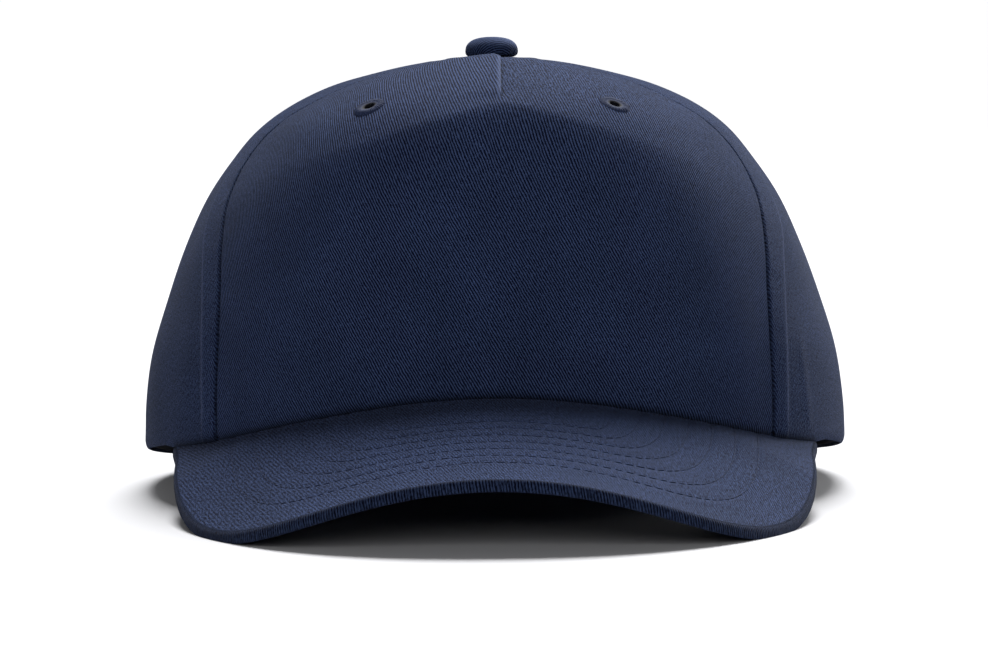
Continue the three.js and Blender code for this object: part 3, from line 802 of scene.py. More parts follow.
# Radius and height above the crown, from the middle of the stem's foot round the edge to the middle of the top.
BUTTON_PROFILE = np.array([
    (0.0, -2.1), (3.3, -2.1), (3.4, -1.0), (3.4, -0.05), (5.4, -0.06), (5.9, 0.0), (6.3, 0.18), (6.6, 0.5),
    (6.8, 0.95), (6.88, 1.5), (6.85, 2.1), (6.7, 2.7), (6.42, 3.25), (6.0, 3.75), (5.45, 4.2), (4.75, 4.55),
    (3.9, 4.83), (2.9, 5.03), (1.8, 5.16), (0.8, 5.2), (0.0, 5.2),
])
BUTTON_WEAVE_DEG = -78.0


def make_button():
    sides = 120
    length = along(BUTTON_PROFILE)
    stops = np.unique(np.concatenate([length, np.linspace(0, length[-1], 64)]))
    radius, height = (np.interp(stops, length, BUTTON_PROFILE[:, k]) for k in range(2))
    turn = np.arange(sides) / sides * 2 * math.pi
    dome = smooth(height, -0.02, 0.35)
    pleat = np.sin(13 * turn + 0.7 * np.sin(2 * turn + 1)) + 0.5 * np.sin(29 * turn + 2)
    skirt = (hump(height - 0.6, 1.1) * dome)[None, :] * 0.13 * pleat[:, None]
    lump = 0.07 * np.sin(2 * turn[:, None] + 0.8 * height[None, :]) * smooth(radius, 1, 5)[None, :]
    gathered = radius + (skirt + lump) * (radius > 3.6)
    grid = turned_profile(gathered, height + CROWN_HEIGHT + BUTTON_LIFT, sides)
    points = np.concatenate([grid[:, 1:-1].reshape(-1, 3), grid[:1, 0], grid[:1, -1]])
    rows = len(stops) - 2
    at = np.arange(sides * rows).reshape(sides, rows)
    after = np.roll(at, -1, axis=0)
    foot, crest = np.full(sides, sides * rows), np.full(sides, sides * rows + 1)
    faces = closed_quads(at).tolist()
    faces += np.stack([after[:, 0], at[:, 0], foot], -1).tolist()
    faces += np.stack([at[:, -1], after[:, -1], crest], -1).tolist()

    run = along(np.stack([radius, height], -1))
    arc = np.concatenate([np.tile(run[-1] - run[1:-1], sides), [run[-1]], [0]])
    angle = np.concatenate([np.repeat(turn, rows), [0, 0]]) + math.radians(BUTTON_WEAVE_DEG)
    weave = np.stack([arc * np.cos(angle), arc * np.sin(angle), np.zeros_like(arc)], -1)
    # Painted highlight on the button's top, stronger towards its right.
    lit = smooth(points[:, 2] - CROWN_HEIGHT, 1.5, 4.5) * (0.35 + 0.45 * smooth(points[:, 0], -2, 6))
    return make_mesh("top_button_twill", points, faces, weave, lit, np.ones(len(points)), sharp_deg=55)


# Thread work

def add(tree, kind, links=None, **settings):
    """One node with its settings. links holds, for each input, a value or the socket it comes from."""
    node = tree.nodes.new(kind)
    for name, value in settings.items():
        setattr(node, name, value)
    for key, value in (links or {}).items():
        if isinstance(value, bpy.types.NodeSocket):
            tree.links.new(value, node.inputs[key])
        else:
            node.inputs[key].default_value = value
    return node


def new_tree(name, inputs):
    """A geometry tree with a geometry input and output and the named inputs (name, socket type, default)."""
    tree = bpy.data.node_groups.new(name, "GeometryNodeTree")
    tree.interface.new_socket("Geometry", in_out="INPUT", socket_type="NodeSocketGeometry")
    tree.interface.new_socket("Geometry", in_out="OUTPUT", socket_type="NodeSocketGeometry")
    for label, kind, default in inputs:
        socket = tree.interface.new_socket(label, in_out="INPUT", socket_type=kind)
        if default is not None:
            socket.default_value = default
    return tree, tree.nodes.new("NodeGroupInput").outputs, tree.nodes.new("NodeGroupOutput").inputs


def stitch_tree():
    """Running stitches along every line of the input mesh, lying on the side its facing vectors point to."""
    tree, given, out = new_tree("running_stitches", [
        ("Pitch", "NodeSocketFloat", 0.0030),
        ("Stitch Length", "NodeSocketFloat", 0.0026),
        ("Thread Radius", "NodeSocketFloat", 0.00019),
        ("Seed", "NodeSocketInt", 7),
        ("Material", "NodeSocketMaterial", None),
    ])
    half = add(tree, "ShaderNodeMath", {0: given["Stitch Length"], 1: 0.5}, operation="MULTIPLY").outputs[0]
    back = add(tree, "ShaderNodeMath", {0: half, 1: -1.0}, operation="MULTIPLY").outputs[0]
    start = add(tree, "ShaderNodeCombineXYZ", {"X": back}).outputs[0]
    end = add(tree, "ShaderNodeCombineXYZ", {"X": half}).outputs[0]
    straight = add(tree, "GeometryNodeCurvePrimitiveLine", {"Start": start, "End": end})
    fine = add(tree, "GeometryNodeResampleCurve", {"Curve": straight.outputs[0], "Count": 7}, mode="COUNT")
    share = add(tree, "GeometryNodeSplineParameter").outputs["Factor"]
    doubled = add(tree, "ShaderNodeMath", {0: share, 1: 2.0, 2: -1.0}, operation="MULTIPLY_ADD").outputs[0]
    squared = add(tree, "ShaderNodeMath", {0: doubled, 1: doubled}, operation="MULTIPLY").outputs[0]
    bowed = add(tree, "ShaderNodeMath", {0: squared, 1: -0.0002, 2: 0.00004}, operation="MULTIPLY_ADD").outputs[0]
    drop = add(tree, "ShaderNodeCombineXYZ", {"Z": bowed}).outputs[0]
    sunk = add(tree, "GeometryNodeSetPosition", {"Geometry": fine.outputs[0], "Offset": drop})
    thin = add(tree, "ShaderNodeMath", {0: squared, 1: -0.55, 2: 1.0}, operation="MULTIPLY_ADD").outputs[0]
    radius = add(tree, "ShaderNodeMath", {0: thin, 1: given["Thread Radius"]}, operation="MULTIPLY").outputs[0]
    twist = add(tree, "ShaderNodeMath", {0: share, 1: 7.0}, operation="MULTIPLY").outputs[0]
    turned = add(tree, "GeometryNodeSetCurveTilt", {"Curve": sunk.outputs[0], "Tilt": twist})
    ring = add(tree, "GeometryNodeCurvePrimitiveCircle", {"Resolution": 8, "Radius": 1.0}, mode="RADIUS")
    flat = add(tree, "GeometryNodeTransform", {"Geometry": ring.outputs[0], "Scale": (1.0, 0.72, 1.0)})
    stitch = add(tree, "GeometryNodeCurveToMesh", {
        "Curve": turned.outputs[0], "Profile Curve": flat.outputs[0], "Scale": radius, "Fill Caps": True,
    })
    smoothed = add(tree, "GeometryNodeSetShadeSmooth", {"Geometry": stitch.outputs[0], "Shade Smooth": True})
    lines = add(tree, "GeometryNodeMeshToCurve", {"Mesh": given["Geometry"]})
    points = add(tree, "GeometryNodeCurveToPoints", {
        "Curve": lines.outputs[0], "Length": given["Pitch"],
    }, mode="LENGTH")
    facing = add(tree, "GeometryNodeInputNamedAttribute", {"Name": "facing"}, data_type="FLOAT_VECTOR").outputs[0]
    aligned = add(tree, "FunctionNodeAlignRotationToVector", {"Vector": points.outputs["Tangent"]}, axis="X")
    upright = add(tree, "FunctionNodeAlignRotationToVector", {
        "Rotation": aligned.outputs[0], "Vector": facing,
    }, axis="Z", pivot_axis="X")
    scatter = add(tree, "FunctionNodeRandomValue", {
        "Min": (-0.05, -0.03, -0.06), "Max": (0.05, 0.03, 0.06), "Seed": given["Seed"],
    }, data_type="FLOAT_VECTOR").outputs[0]
    jitter = add(tree, "FunctionNodeEulerToRotation", {0: scatter}).outputs[0]
    loose = add(tree, "FunctionNodeRotateRotation", {
        "Rotation": upright.outputs[0], "Rotate By": jitter,
    }, rotation_space="LOCAL").outputs[0]
    placed = add(tree, "GeometryNodeInstanceOnPoints", {
        "Points": points.outputs["Points"], "Instance": smoothed.outputs[0], "Rotation": loose,
    })
    real = add(tree, "GeometryNodeRealizeInstances", {"Geometry": placed.outputs[0]})
    painted = add(tree, "GeometryNodeSetMaterial", {"Geometry": real.outputs[0], "Material": given["Material"]})
    tree.links.new(painted.outputs[0], out["Geometry"])
    return tree


def satin_tree():
    """Satin stitches laid side by side round the ring of an eyelet, joined to the ring under them."""
    tree, given, out = new_tree("satin_ring", [
        ("Threads", "NodeSocketInt", 54),
        ("Inner Radius", "NodeSocketFloat", 0.00135),
        ("Outer Radius", "NodeSocketFloat", 0.00405),
        ("Crown", "NodeSocketFloat", 0.0013),
        ("Seed", "NodeSocketInt", 3),
        ("Material", "NodeSocketMaterial", None),
    ])
    inner, outer, crown = (given[name] for name in ("Inner Radius", "Outer Radius", "Crown"))
    lift = add(tree, "ShaderNodeMath", {0: crown, 1: 0.95}, operation="MULTIPLY").outputs[0]
    points = [
        add(tree, "ShaderNodeCombineXYZ", {"X": inner, "Z": -0.0012}).outputs[0],
        add(tree, "ShaderNodeCombineXYZ", {"X": inner, "Z": lift}).outputs[0],
        add(tree, "ShaderNodeCombineXYZ", {"X": outer, "Z": crown}).outputs[0],
        add(tree, "ShaderNodeCombineXYZ", {"X": outer, "Z": -0.0003}).outputs[0],
    ]
    arc = add(tree, "GeometryNodeCurvePrimitiveBezierSegment", {
        "Resolution": 9, "Start": points[0], "Start Handle": points[1], "End Handle": points[2], "End": points[3],
    }, mode="POSITION")
    place = add(tree, "GeometryNodeInputPosition").outputs[0]
    reach = add(tree, "ShaderNodeSeparateXYZ", {0: place}).outputs["X"]
    turn = add(tree, "ShaderNodeMath", {0: 2 * math.pi, 1: given["Threads"]}, operation="DIVIDE").outputs[0]
    width = add(tree, "ShaderNodeMath", {0: reach, 1: turn}, operation="MULTIPLY").outputs[0]
    radius = add(tree, "ShaderNodeMath", {0: width, 1: 0.56}, operation="MULTIPLY").outputs[0]
    ring = add(tree, "GeometryNodeCurvePrimitiveCircle", {"Resolution": 7, "Radius": 1.0}, mode="RADIUS")
    strand = add(tree, "GeometryNodeCurveToMesh", {
        "Curve": arc.outputs[0], "Profile Curve": ring.outputs[0], "Scale": radius, "Fill Caps": True,
    })
    smoothed = add(tree, "GeometryNodeSetShadeSmooth", {"Geometry": strand.outputs[0], "Shade Smooth": True})
    spots = add(tree, "GeometryNodePoints", {"Count": given["Threads"]})
    number = add(tree, "GeometryNodeInputIndex").outputs[0]
    angle = add(tree, "ShaderNodeMath", {0: number, 1: turn}, operation="MULTIPLY").outputs[0]
    scatter, lean = (
        add(tree, "FunctionNodeRandomValue", {
            "Min": least, "Max": most, "Seed": given["Seed"],
        }, data_type="FLOAT").outputs["Value"]
        for least, most in ((-0.035, 0.035), (0.955, 1.02))
    )
    loose = add(tree, "ShaderNodeMath", {0: angle, 1: scatter}, operation="ADD").outputs[0]
    spin = add(tree, "ShaderNodeCombineXYZ", {"Z": loose}).outputs[0]
    scale = add(tree, "ShaderNodeCombineXYZ", {"X": lean, "Y": 1.0, "Z": lean}).outputs[0]
    placed = add(tree, "GeometryNodeInstanceOnPoints", {
        "Points": spots.outputs[0], "Instance": smoothed.outputs[0], "Rotation": spin, "Scale": scale,
    })
    joined = add(tree, "GeometryNodeJoinGeometry", {0: placed.outputs[0]})
    tree.links.new(given["Geometry"], joined.inputs[0])
    real = add(tree, "GeometryNodeRealizeInstances", {"Geometry": joined.outputs[0]})
    painted = add(tree, "GeometryNodeSetMaterial", {"Geometry": real.outputs[0], "Material": given["Material"]})
    tree.links.new(painted.outputs[0], out["Geometry"])
    return tree


def grown(obj, tree, name, **inputs):
    """A plain mesh object made by the tree from obj, which goes."""
    modifier = obj.modifiers.new(tree.name, "NODES")
    modifier.node_group = tree
    for socket in tree.interface.items_tree:
        if socket.in_out == "INPUT" and socket.name in inputs:
            modifier[socket.identifier] = inputs[socket.name]
    obj.update_tag()
    ready = obj.evaluated_get(bpy.context.evaluated_depsgraph_get())
    mesh = bpy.data.meshes.new_from_object(ready)
    mesh.name = name
    if not mesh.polygons:
        raise RuntimeError(f"{name} came out empty")
    old = obj.data
    bpy.data.objects.remove(obj)
    bpy.data.meshes.remove(old)
    return add_object(name, mesh)


def line_mesh(name, lines):
    """Stitch lines for the tree, from pairs of points in metres and the directions they face."""
    points, facings, edges = [], [], []
    for line, facing in lines:
        start = len(points)
        points += line.tolist()
        facings += facing.tolist()
        edges += [(start + k, start + k + 1) for k in range(len(line) - 1)]
    mesh = bpy.data.meshes.new(name)
    mesh.from_pydata(points, edges, [])
    set_attribute(mesh, "facing", facings)
    return add_object(name, mesh)


def peak_stitch_lines(under):
    """The rows of stitches that follow the peak's outline, on its upper or under face."""
    plan = peak_grid()[2]
    inset = peak_rows_relief(plan, peak_outline(OUTLINE_POINTS, STITCH_CORNER)[0])[1]
    step = 0.05
    lines = []
    for row in PEAK_ROW_INSETS:
        spots = []
        for depths, place in zip(inset, plan):
            crossed = np.nonzero((depths[:-1] >= row) & (depths[1:] < row))[0]
            if len(crossed):
                k = crossed[-1]
                t = (depths[k] - row) / (depths[k] - depths[k + 1])
                spots.append(place[k] * (1 - t) + place[k + 1] * t)
        x, y = np.array(spots).T
        slope_x = (peak_top(x + step, y) - peak_top(x - step, y)) / (2 * step)
        slope_y = (peak_top(x, y + step) - peak_top(x, y - step)) / (2 * step)
        normal = unit(np.stack([-slope_x, -slope_y, np.ones_like(x)], -1))
        z = peak_top(x, y) - 0.08
        if under:
            normal = -normal
            z = np.maximum(peak_top(x, y) - PEAK_THICKNESS + 0.05, table_plane(y) + 0.25)
        lines.append((set_down(np.stack([x, y, z], -1)), facing_down(normal)))
    return lines


def crown_line(azimuth, level, lift, way=1):
    """A line for stitches on cloth that stands out from the crown by lift. way is -1 where they show from inside."""
    normal = crown_normal(azimuth, level)
    return set_down(crown_surface(azimuth, level) + normal * lift), way * facing_down(normal)


def arch_stitch_lines(inset):
    """One row of stitches round the opening, on each back panel."""
    line = arch_line()
    heading = unit(np.gradient(line, axis=0))
    line = line + np.stack([heading[:, 1], -heading[:, 0]], -1) * inset
    rim = float(table_plane(CROWN_BACK_REACH))
    x, z = line[(line[:, 1] > rim + 1.5) & (line[:, 0] > 0.8)].T
    level = level_where("rise", (z - rim) / (CROWN_HEIGHT - rim))
    azimuth = 180 - azimuth_at(x, section_at(level), "back_corner")
    return [crown_line(side * azimuth, level, 0.12) for side in (-1, 1)]


def round_stitch_lines(azimuth, bottom, top, inset, lift, way):
    """Two rows of stitches round the crown, near the lower and upper edge of a band inside it."""
    foot = np.stack(section_point(azimuth, BASE), -1)
    rim = rim_height(azimuth, foot[:, 0], foot[:, 1])
    return [
        crown_line(azimuth, level_where("rise", height / (CROWN_HEIGHT - rim)), lift, way)
        for height in (bottom + inset, top - inset)
    ]


def strap_stitch_lines():
    reach = float(azimuth_at(ARCH_HALF_WIDTH - 1, BASE, "back_corner"))
    azimuth = np.linspace(180 - reach, 180 + reach, 90)
    return round_stitch_lines(azimuth, STRAP_BOTTOM, STRAP_HEIGHT, 2, -STRAP_DEPTH, 1)


def band_stitch_lines():
    azimuth = np.linspace(-150, 150, 360)
    return round_stitch_lines(azimuth, BAND_BOTTOM, BAND_HEIGHT, 2.2, -(BAND_DEPTH + BAND_WALL), -1)


def eyelet_placement(side):
    """The frame's place and direction of an eyelet, as a matrix in metres."""
    level = level_where("rise", EYELET_RISE)
    place = set_down(crown_surface(side * EYELET_AZIMUTH, level))
    normal = Vector(facing_down(crown_normal(side * EYELET_AZIMUTH, level)))
    return Matrix.Translation(Vector(place)) @ normal.to_track_quat("Z", "Y").to_matrix().to_4x4()


def pierce(panel, placement):
    """Cuts the round hole of an eyelet through a panel, a little wider than the eyelet's sleeve."""
    sides = 32
    points = turned_profile(EYELET_CUT_RADIUS, np.array([-8.0, 6.0]), sides).reshape(-1, 3) * MM
    at = np.arange(2 * sides).reshape(sides, 2)
    faces = [at[::-1, 0].tolist(), at[:, 1].tolist(), *closed_quads(at).tolist()]
    mesh = bpy.data.meshes.new("hole")
    mesh.from_pydata(points.tolist(), [], faces)
    mesh.transform(placement)
    punch = add_object("hole", mesh)
    cut = panel.modifiers.new("hole", "BOOLEAN")
    cut.operation, cut.solver, cut.object = "DIFFERENCE", "EXACT", punch
    ready = panel.evaluated_get(bpy.context.evaluated_depsgraph_get())
    pierced = bpy.data.meshes.new_from_object(ready)
    panel.modifiers.clear()
    if len(pierced.polygons) == len(panel.data.polygons):
        raise RuntimeError("the hole missed the panel")
    old, panel.data = panel.data, pierced
    pierced.name = old.name
    bpy.data.meshes.remove(old)
    bpy.data.objects.remove(punch)
    bpy.data.meshes.remove(mesh)


# Radius and height of the eyelet's padded ring over the panel, round its section.
EYELET_RING = np.array([
    (1.3, 0.4), (1.3, -1.0), (1.3, -1.75), (2.0, -1.75), (2.05, -0.3), (3.7, -0.3), (3.8, 0.15), (3.5, 0.55),
    (2.9, 0.74), (2.2, 0.74), (1.6, 0.62),
])


def eyelet_ring(name):
    """The ring of cloth and padding threads that the satin stitches cover, round its own axis in metres."""
    sides = 64
    points = turned_profile(*EYELET_RING.T * MM, sides).reshape(-1, 3)
    at = np.arange(len(points)).reshape(sides, -1)
    faces = closed_quads(np.concatenate([at, at[:, :1]], axis=1))
    mesh = bpy.data.meshes.new(name)
    mesh.from_pydata(points.tolist(), [], faces.tolist())
    if points_inwards(points, faces):
        mesh.flip_normals()
    mesh.shade_smooth()
    return add_object(name, mesh)


def darken_hole(mesh):
    """Marks the threads that dive into the hole, where hardly any light comes."""
    points = np.empty(3 * len(mesh.vertices), np.float32)
    mesh.vertices.foreach_get("co", points)
    x, y, z = points.reshape(-1, 3).T / MM
    set_attribute(mesh, "hidden", np.maximum(1 - smooth(np.hypot(x, y), 1.55, 2.1), 1 - smooth(z, -0.1, 0.25)))


# Materials

def linear(colour):
    """A hex sRGB colour as linear red, green, blue and alpha."""
    channels = [int(colour[k:k + 2], 16) / 255 for k in (1, 3, 5)]
    return [c / 12.92 if c <= 0.04045 else ((c + 0.055) / 1.055) ** 2.4 for c in channels] + [1.0]


def new_material(name, plain):
    """A material, its node tree and its one shader, whose plain inputs are given by name."""
    material = bpy.data.materials.new(name)
    material.use_nodes = True
    tree = material.node_tree
    tree.nodes.clear()
    surface = add(tree, "ShaderNodeBsdfPrincipled", plain)
    add(tree, "ShaderNodeOutputMaterial", {"Surface": surface.outputs["BSDF"]})
    return material, tree, surface.inputs


def twill_material(looks):
    """Cotton twill, woven and piece-dyed.

    Slanting ribs, drawn 0.66 mm apart so that they show as in the photo, catch the light on one flank. Short fibres and
    uneven dye scatter the rest, and the cloth has no gloss. Noise scales are features for each millimetre of cloth.
    """
    material, tree, surface = new_material("navy cotton twill", {
        "Roughness": 0.86, "Specular IOR Level": 0.03, "Sheen Weight": 0.025, "Sheen Roughness": 0.45,
        "Sheen Tint": linear("#D8DCE6"),
    })
    cloth = add(tree, "ShaderNodeAttribute", attribute_name="weave_mm").outputs["Vector"]
    crisp = add(tree, "ShaderNodeAttribute", attribute_name="ribs").outputs["Fac"]
    rubbed = add(tree, "ShaderNodeAttribute", attribute_name="rubbed").outputs["Fac"]
    flat = {"noise_dimensions": "2D"}

    slant = math.radians(looks.rib_slant)
    across, along_rib = (
        add(tree, "ShaderNodeVectorMath", {0: cloth, 1: direction}, operation="DOT_PRODUCT").outputs["Value"]
        for direction in (
            (math.sin(slant) / looks.rib_pitch, math.cos(slant) / looks.rib_pitch, 0.0),
            (math.cos(slant) / 1.5, -math.sin(slant) / 1.5, 0.0),
        )
    )
    wander = add(tree, "ShaderNodeTexNoise", {"Vector": cloth, "Scale": 0.35, "Detail": 2.0}, **flat).outputs["Fac"]
    drift = add(tree, "ShaderNodeMath", {0: wander, 1: 0.6, 2: across}, operation="MULTIPLY_ADD").outputs[0]
    turn = add(tree, "ShaderNodeMath", {0: drift, 1: 2 * math.pi}, operation="MULTIPLY").outputs[0]
    wave = add(tree, "ShaderNodeMath", {0: turn}, operation="COSINE").outputs[0]
    stood = add(tree, "ShaderNodeMath", {0: wave, 1: crisp}, operation="MULTIPLY").outputs[0]
    rib = add(tree, "ShaderNodeMath", {0: stood, 1: 0.5, 2: 0.5}, operation="MULTIPLY_ADD").outputs[0]

    narrow = add(tree, "ShaderNodeMath", {0: across, 1: 1.6}, operation="MULTIPLY").outputs[0]
    grain = add(tree, "ShaderNodeCombineXYZ", {"X": narrow, "Y": along_rib}).outputs[0]
    yarn, fibre, flecks, cloudy = (
        add(tree, "ShaderNodeTexNoise", {
            "Vector": place, "Scale": scale, "Detail": detail, "Roughness": rough,
        }, **flat).outputs["Fac"]
        for place, scale, detail, rough in (
            (grain, 1.3, 3.0, 0.6), (cloth, 3.2, 3.0, 0.7), (cloth, 2.9, 2.0, 0.6), (cloth, 0.06, 3.0, 0.5),
        )
    )
    lump = add(tree, "ShaderNodeMath", {0: yarn, 1: 0.9}, operation="MULTIPLY").outputs[0]
    ribbed = add(tree, "ShaderNodeMath", {0: rib, 1: 0.75, 2: lump}, operation="MULTIPLY_ADD").outputs[0]
    height = add(tree, "ShaderNodeMath", {0: fibre, 1: 0.5, 2: ribbed}, operation="MULTIPLY_ADD").outputs[0]
    relief = add(tree, "ShaderNodeBump", {"Strength": 1.0, "Distance": looks.rib_height, "Height": height})

    spread = add(tree, "ShaderNodeMapRange", {
        "Value": crisp, "From Min": 0.3, "From Max": 1.0, "To Min": 0.95, "To Max": 0.7,
    }).outputs["Result"]
    centred = add(tree, "ShaderNodeMath", {0: flecks, 1: -0.5}, operation="ADD").outputs[0]
    melange = add(tree, "ShaderNodeMath", {0: centred, 1: spread, 2: ribbed}, operation="MULTIPLY_ADD").outputs[0]
    tone = add(tree, "ShaderNodeMath", {0: fibre, 1: 0.9, 2: melange}, operation="MULTIPLY_ADD").outputs[0]
    depth = add(tree, "ShaderNodeMapRange", {"Value": tone, "From Min": 1.06, "From Max": 1.58}).outputs["Result"]
    # The colour runs from painted shade in the furrows to the ribs' colour, by rib height, with fibre and fleck tone
    # added.
    shade = add(tree, "ShaderNodeMix", {
        "Factor": depth, "A": linear(looks.furrow_painted_shade_colour), "B": linear(looks.rib_colour),
    }, data_type="RGBA").outputs["Result"]
    # Painted highlight: where the painted light is above zero, the colour is mixed towards a pale highlight colour.
    painted_light_amount = add(tree, "ShaderNodeMath", {0: rubbed, 1: 0.8}, operation="MULTIPLY").outputs[0]
    worn = add(tree, "ShaderNodeMix", {
        "Factor": painted_light_amount, "A": shade, "B": linear(looks.painted_highlight_colour),
    }, data_type="RGBA").outputs["Result"]
    even = add(tree, "ShaderNodeMapRange", {
        "Value": cloudy, "From Min": 0.3, "From Max": 0.7, "To Min": 0.92, "To Max": 1.08,
    }).outputs["Result"]
    # Painted shade: where the painted light is below zero, the colour darkens, to black at -1.
    turned = add(tree, "ShaderNodeMapRange", {"Value": rubbed, "From Min": -1.0, "From Max": 0.0}).outputs["Result"]
    brightness = add(tree, "ShaderNodeMath", {0: even, 1: turned}, operation="MULTIPLY").outputs[0]
    toned = add(tree, "ShaderNodeVectorMath", {0: worn, "Scale": brightness}, operation="SCALE")
    tree.links.new(toned.outputs[0], surface["Base Color"])
    tree.links.new(relief.outputs[0], surface["Normal"])
    return material


def thread_material(looks):
    """Spun polyester thread: a little smoother than the cloth, so that each stitch has a soft highlight along it."""
    material, tree, surface = new_material("navy polyester thread", {
        "Roughness": 0.75, "Specular IOR Level": 0.1, "Sheen Weight": 0.01, "Sheen Roughness": 0.45,
    })
    place = add(tree, "ShaderNodeTexCoord").outputs["Object"]
    fuzz = add(tree, "ShaderNodeTexNoise", {"Vector": place, "Scale": 2600.0, "Detail": 2.0}).outputs["Fac"]
    shade = add(tree, "ShaderNodeMix", {
        "Factor": fuzz, "A": linear(looks.thread_dark), "B": linear(looks.thread_colour),
    }, data_type="RGBA").outputs["Result"]
    relief = add(tree, "ShaderNodeBump", {"Strength": 0.6, "Distance": 0.00005, "Height": fuzz})
    # Painted shade: threads deep in the eyelet's hole are mixed to near black.
    hidden = add(tree, "ShaderNodeAttribute", attribute_name="hidden").outputs["Fac"]
    sunk = add(tree, "ShaderNodeMix", {"Factor": hidden, "A": shade, "B": linear("#010208")}, data_type="RGBA")
    tree.links.new(sunk.outputs["Result"], surface["Base Color"])
    tree.links.new(relief.outputs[0], surface["Normal"])
    return material


def band_material(looks):
    """Plain-woven cotton of the sweatband: a fine square weave, 0.5 mm from yarn to yarn, that stays flat. Its navy is
    darkened nearly to black, painted shade for the inside of the crown.
    """
    material, tree, surface = new_material("navy cotton band cloth", {"Roughness": 0.9, "Specular IOR Level": 0.05})
    cloth = add(tree, "ShaderNodeAttribute", attribute_name="weave_mm").outputs["Vector"]
    parts = add(tree, "ShaderNodeSeparateXYZ", {0: cloth}).outputs
    waves = []
    for axis in ("X", "Y"):
        turn = add(tree, "ShaderNodeMath", {0: parts[axis], 1: 2 * math.pi / 0.5}, operation="MULTIPLY").outputs[0]
        waves.append(add(tree, "ShaderNodeMath", {0: turn}, operation="COSINE").outputs[0])
    weave = add(tree, "ShaderNodeMath", {0: waves[0], 1: waves[1]}, operation="MULTIPLY").outputs[0]
    fibre = add(tree, "ShaderNodeTexNoise", {
        "Vector": cloth, "Scale": 3.0, "Detail": 2.0,
    }, noise_dimensions="2D").outputs["Fac"]
    height = add(tree, "ShaderNodeMath", {0: weave, 1: 0.4, 2: fibre}, operation="MULTIPLY_ADD").outputs[0]
    relief = add(tree, "ShaderNodeBump", {"Strength": 1.0, "Distance": 0.00007, "Height": height})
    # Mixed from the furrows' painted shade at the weave's low points to the band's darkened navy.
    shade = add(tree, "ShaderNodeMix", {
        "Factor": height, "A": linear(looks.furrow_painted_shade_colour), "B": linear(looks.band_colour_with_painted_shade),
    }, data_type="RGBA", clamp_factor=True)
    tree.links.new(shade.outputs["Result"], surface["Base Color"])
    tree.links.new(relief.outputs[0], surface["Normal"])
    return material


def floor_material(looks):
    """Matt painted board: pale and even, so that only the cap's soft shadow shows on it."""
    return new_material("matt pale studio board", {
        "Base Color": linear(looks.floor_colour), "Roughness": 1.0, "Specular IOR Level": 0.0,
    })[0]


MATERIALS = {
    "twill": twill_material,
    "thread": thread_material,
    "band_cloth": band_material,
}


def finish_of(slot):
    """The material of a slot, made once."""
    name = f"slot:{slot}"
    for material in bpy.data.materials:
        if material.get("finish") == name:
            return material
    material = MATERIALS[slot](bpy.context.scene.cap_looks)
    material["finish"] = name
    return material


def place_piece(obj, slot, *nodes):
    """Gives a finished piece its material, its body and the frame's plain nodes that it stands for."""
    obj.data.materials.clear()
    obj.data.materials.append(finish_of(slot))
    if nodes:
        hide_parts(*nodes)
    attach(obj, "root")


# Add-on

class CapSizes(bpy.types.PropertyGroup):
    stitch_pitch: bpy.props.FloatProperty(
        name="Stitch Pitch", description="From one stitch to the next",
        default=0.0030, min=0.001, unit="LENGTH", precision=5,
    )
    stitch_length: bpy.props.FloatProperty(
        name="Stitch Length", description="Thread that shows of one stitch",
        default=0.0025, min=0.0005, unit="LENGTH", precision=5,
    )
    thread_radius: bpy.props.FloatProperty(
        name="Thread Radius", description="Half the thickness of the sewing thread",
        default=0.00019, min=0.00005, unit="LENGTH", precision=5,
    )
    satin_threads: bpy.props.IntProperty(
        name="Satin Threads", description="Threads laid round one eyelet", default=54, min=12,
    )


class CapLooks(bpy.types.PropertyGroup):
    rib_colour: bpy.props.StringProperty(
        name="Ribs", description="Cloth colour on top of the twill's ribs", default="#323F5E",
    )
    # Painted shade for the furrows between the ribs, and for the low points of the band's weave.
    furrow_painted_shade_colour: bpy.props.StringProperty(
        name="Furrows", description="Cloth colour between the ribs", default="#020518",
    )
    # The colour of the painted highlights on the fold's crest, the dart's edge and the button's top.
    painted_highlight_colour: bpy.props.StringProperty(
        name="Rubbed Edges", description="Cloth colour where edges have rubbed", default="#4A5573",
    )
    thread_colour: bpy.props.StringProperty(
        name="Thread", description="Colour of the sewing thread", default="#2A3450",
    )
    thread_dark: bpy.props.StringProperty(
        name="Thread Shade", description="Colour between the thread's fibres", default="#0F162B",
    )
    # The sweatband's navy, darkened nearly to black as painted shade for the inside of the crown.
    band_colour_with_painted_shade: bpy.props.StringProperty(
        name="Band", description="Colour of the sweatband", default="#070A12",
    )
    floor_colour: bpy.props.StringProperty(
        name="Floor", description="Colour of the studio floor", default="#B4B4B6",
    )
    rib_pitch: bpy.props.FloatProperty(
        name="Rib Pitch", description="Millimetres from rib to rib, square across them", default=0.66, min=0.1,
    )
    rib_slant: bpy.props.FloatProperty(
        name="Rib Slant", description="Degrees by which the ribs fall to the right", default=60.0, min=0.0, max=90.0,
    )
    rib_height: bpy.props.FloatProperty(
        name="Rib Height", description="How far a rib stands above its furrow",
        default=0.00022, min=0.0, unit="LENGTH", precision=5,
    )


class CapOperator:
    bl_options = {"REGISTER", "UNDO"}

    def execute(self, context):
        self.make(context.scene.cap_sizes)
        return {"FINISHED"}


class CAP_OT_front_panel(CapOperator, bpy.types.Operator):
    """Make the front panel with its pinched top"""
    bl_idname = "cap.front_panel"
    bl_label = "Front Panel"

    def make(self, sizes):
        panel = make_front_panel()
        for side in (-1, 1):
            pierce(panel, eyelet_placement(side))
        place_piece(panel, "twill", "front_panel")


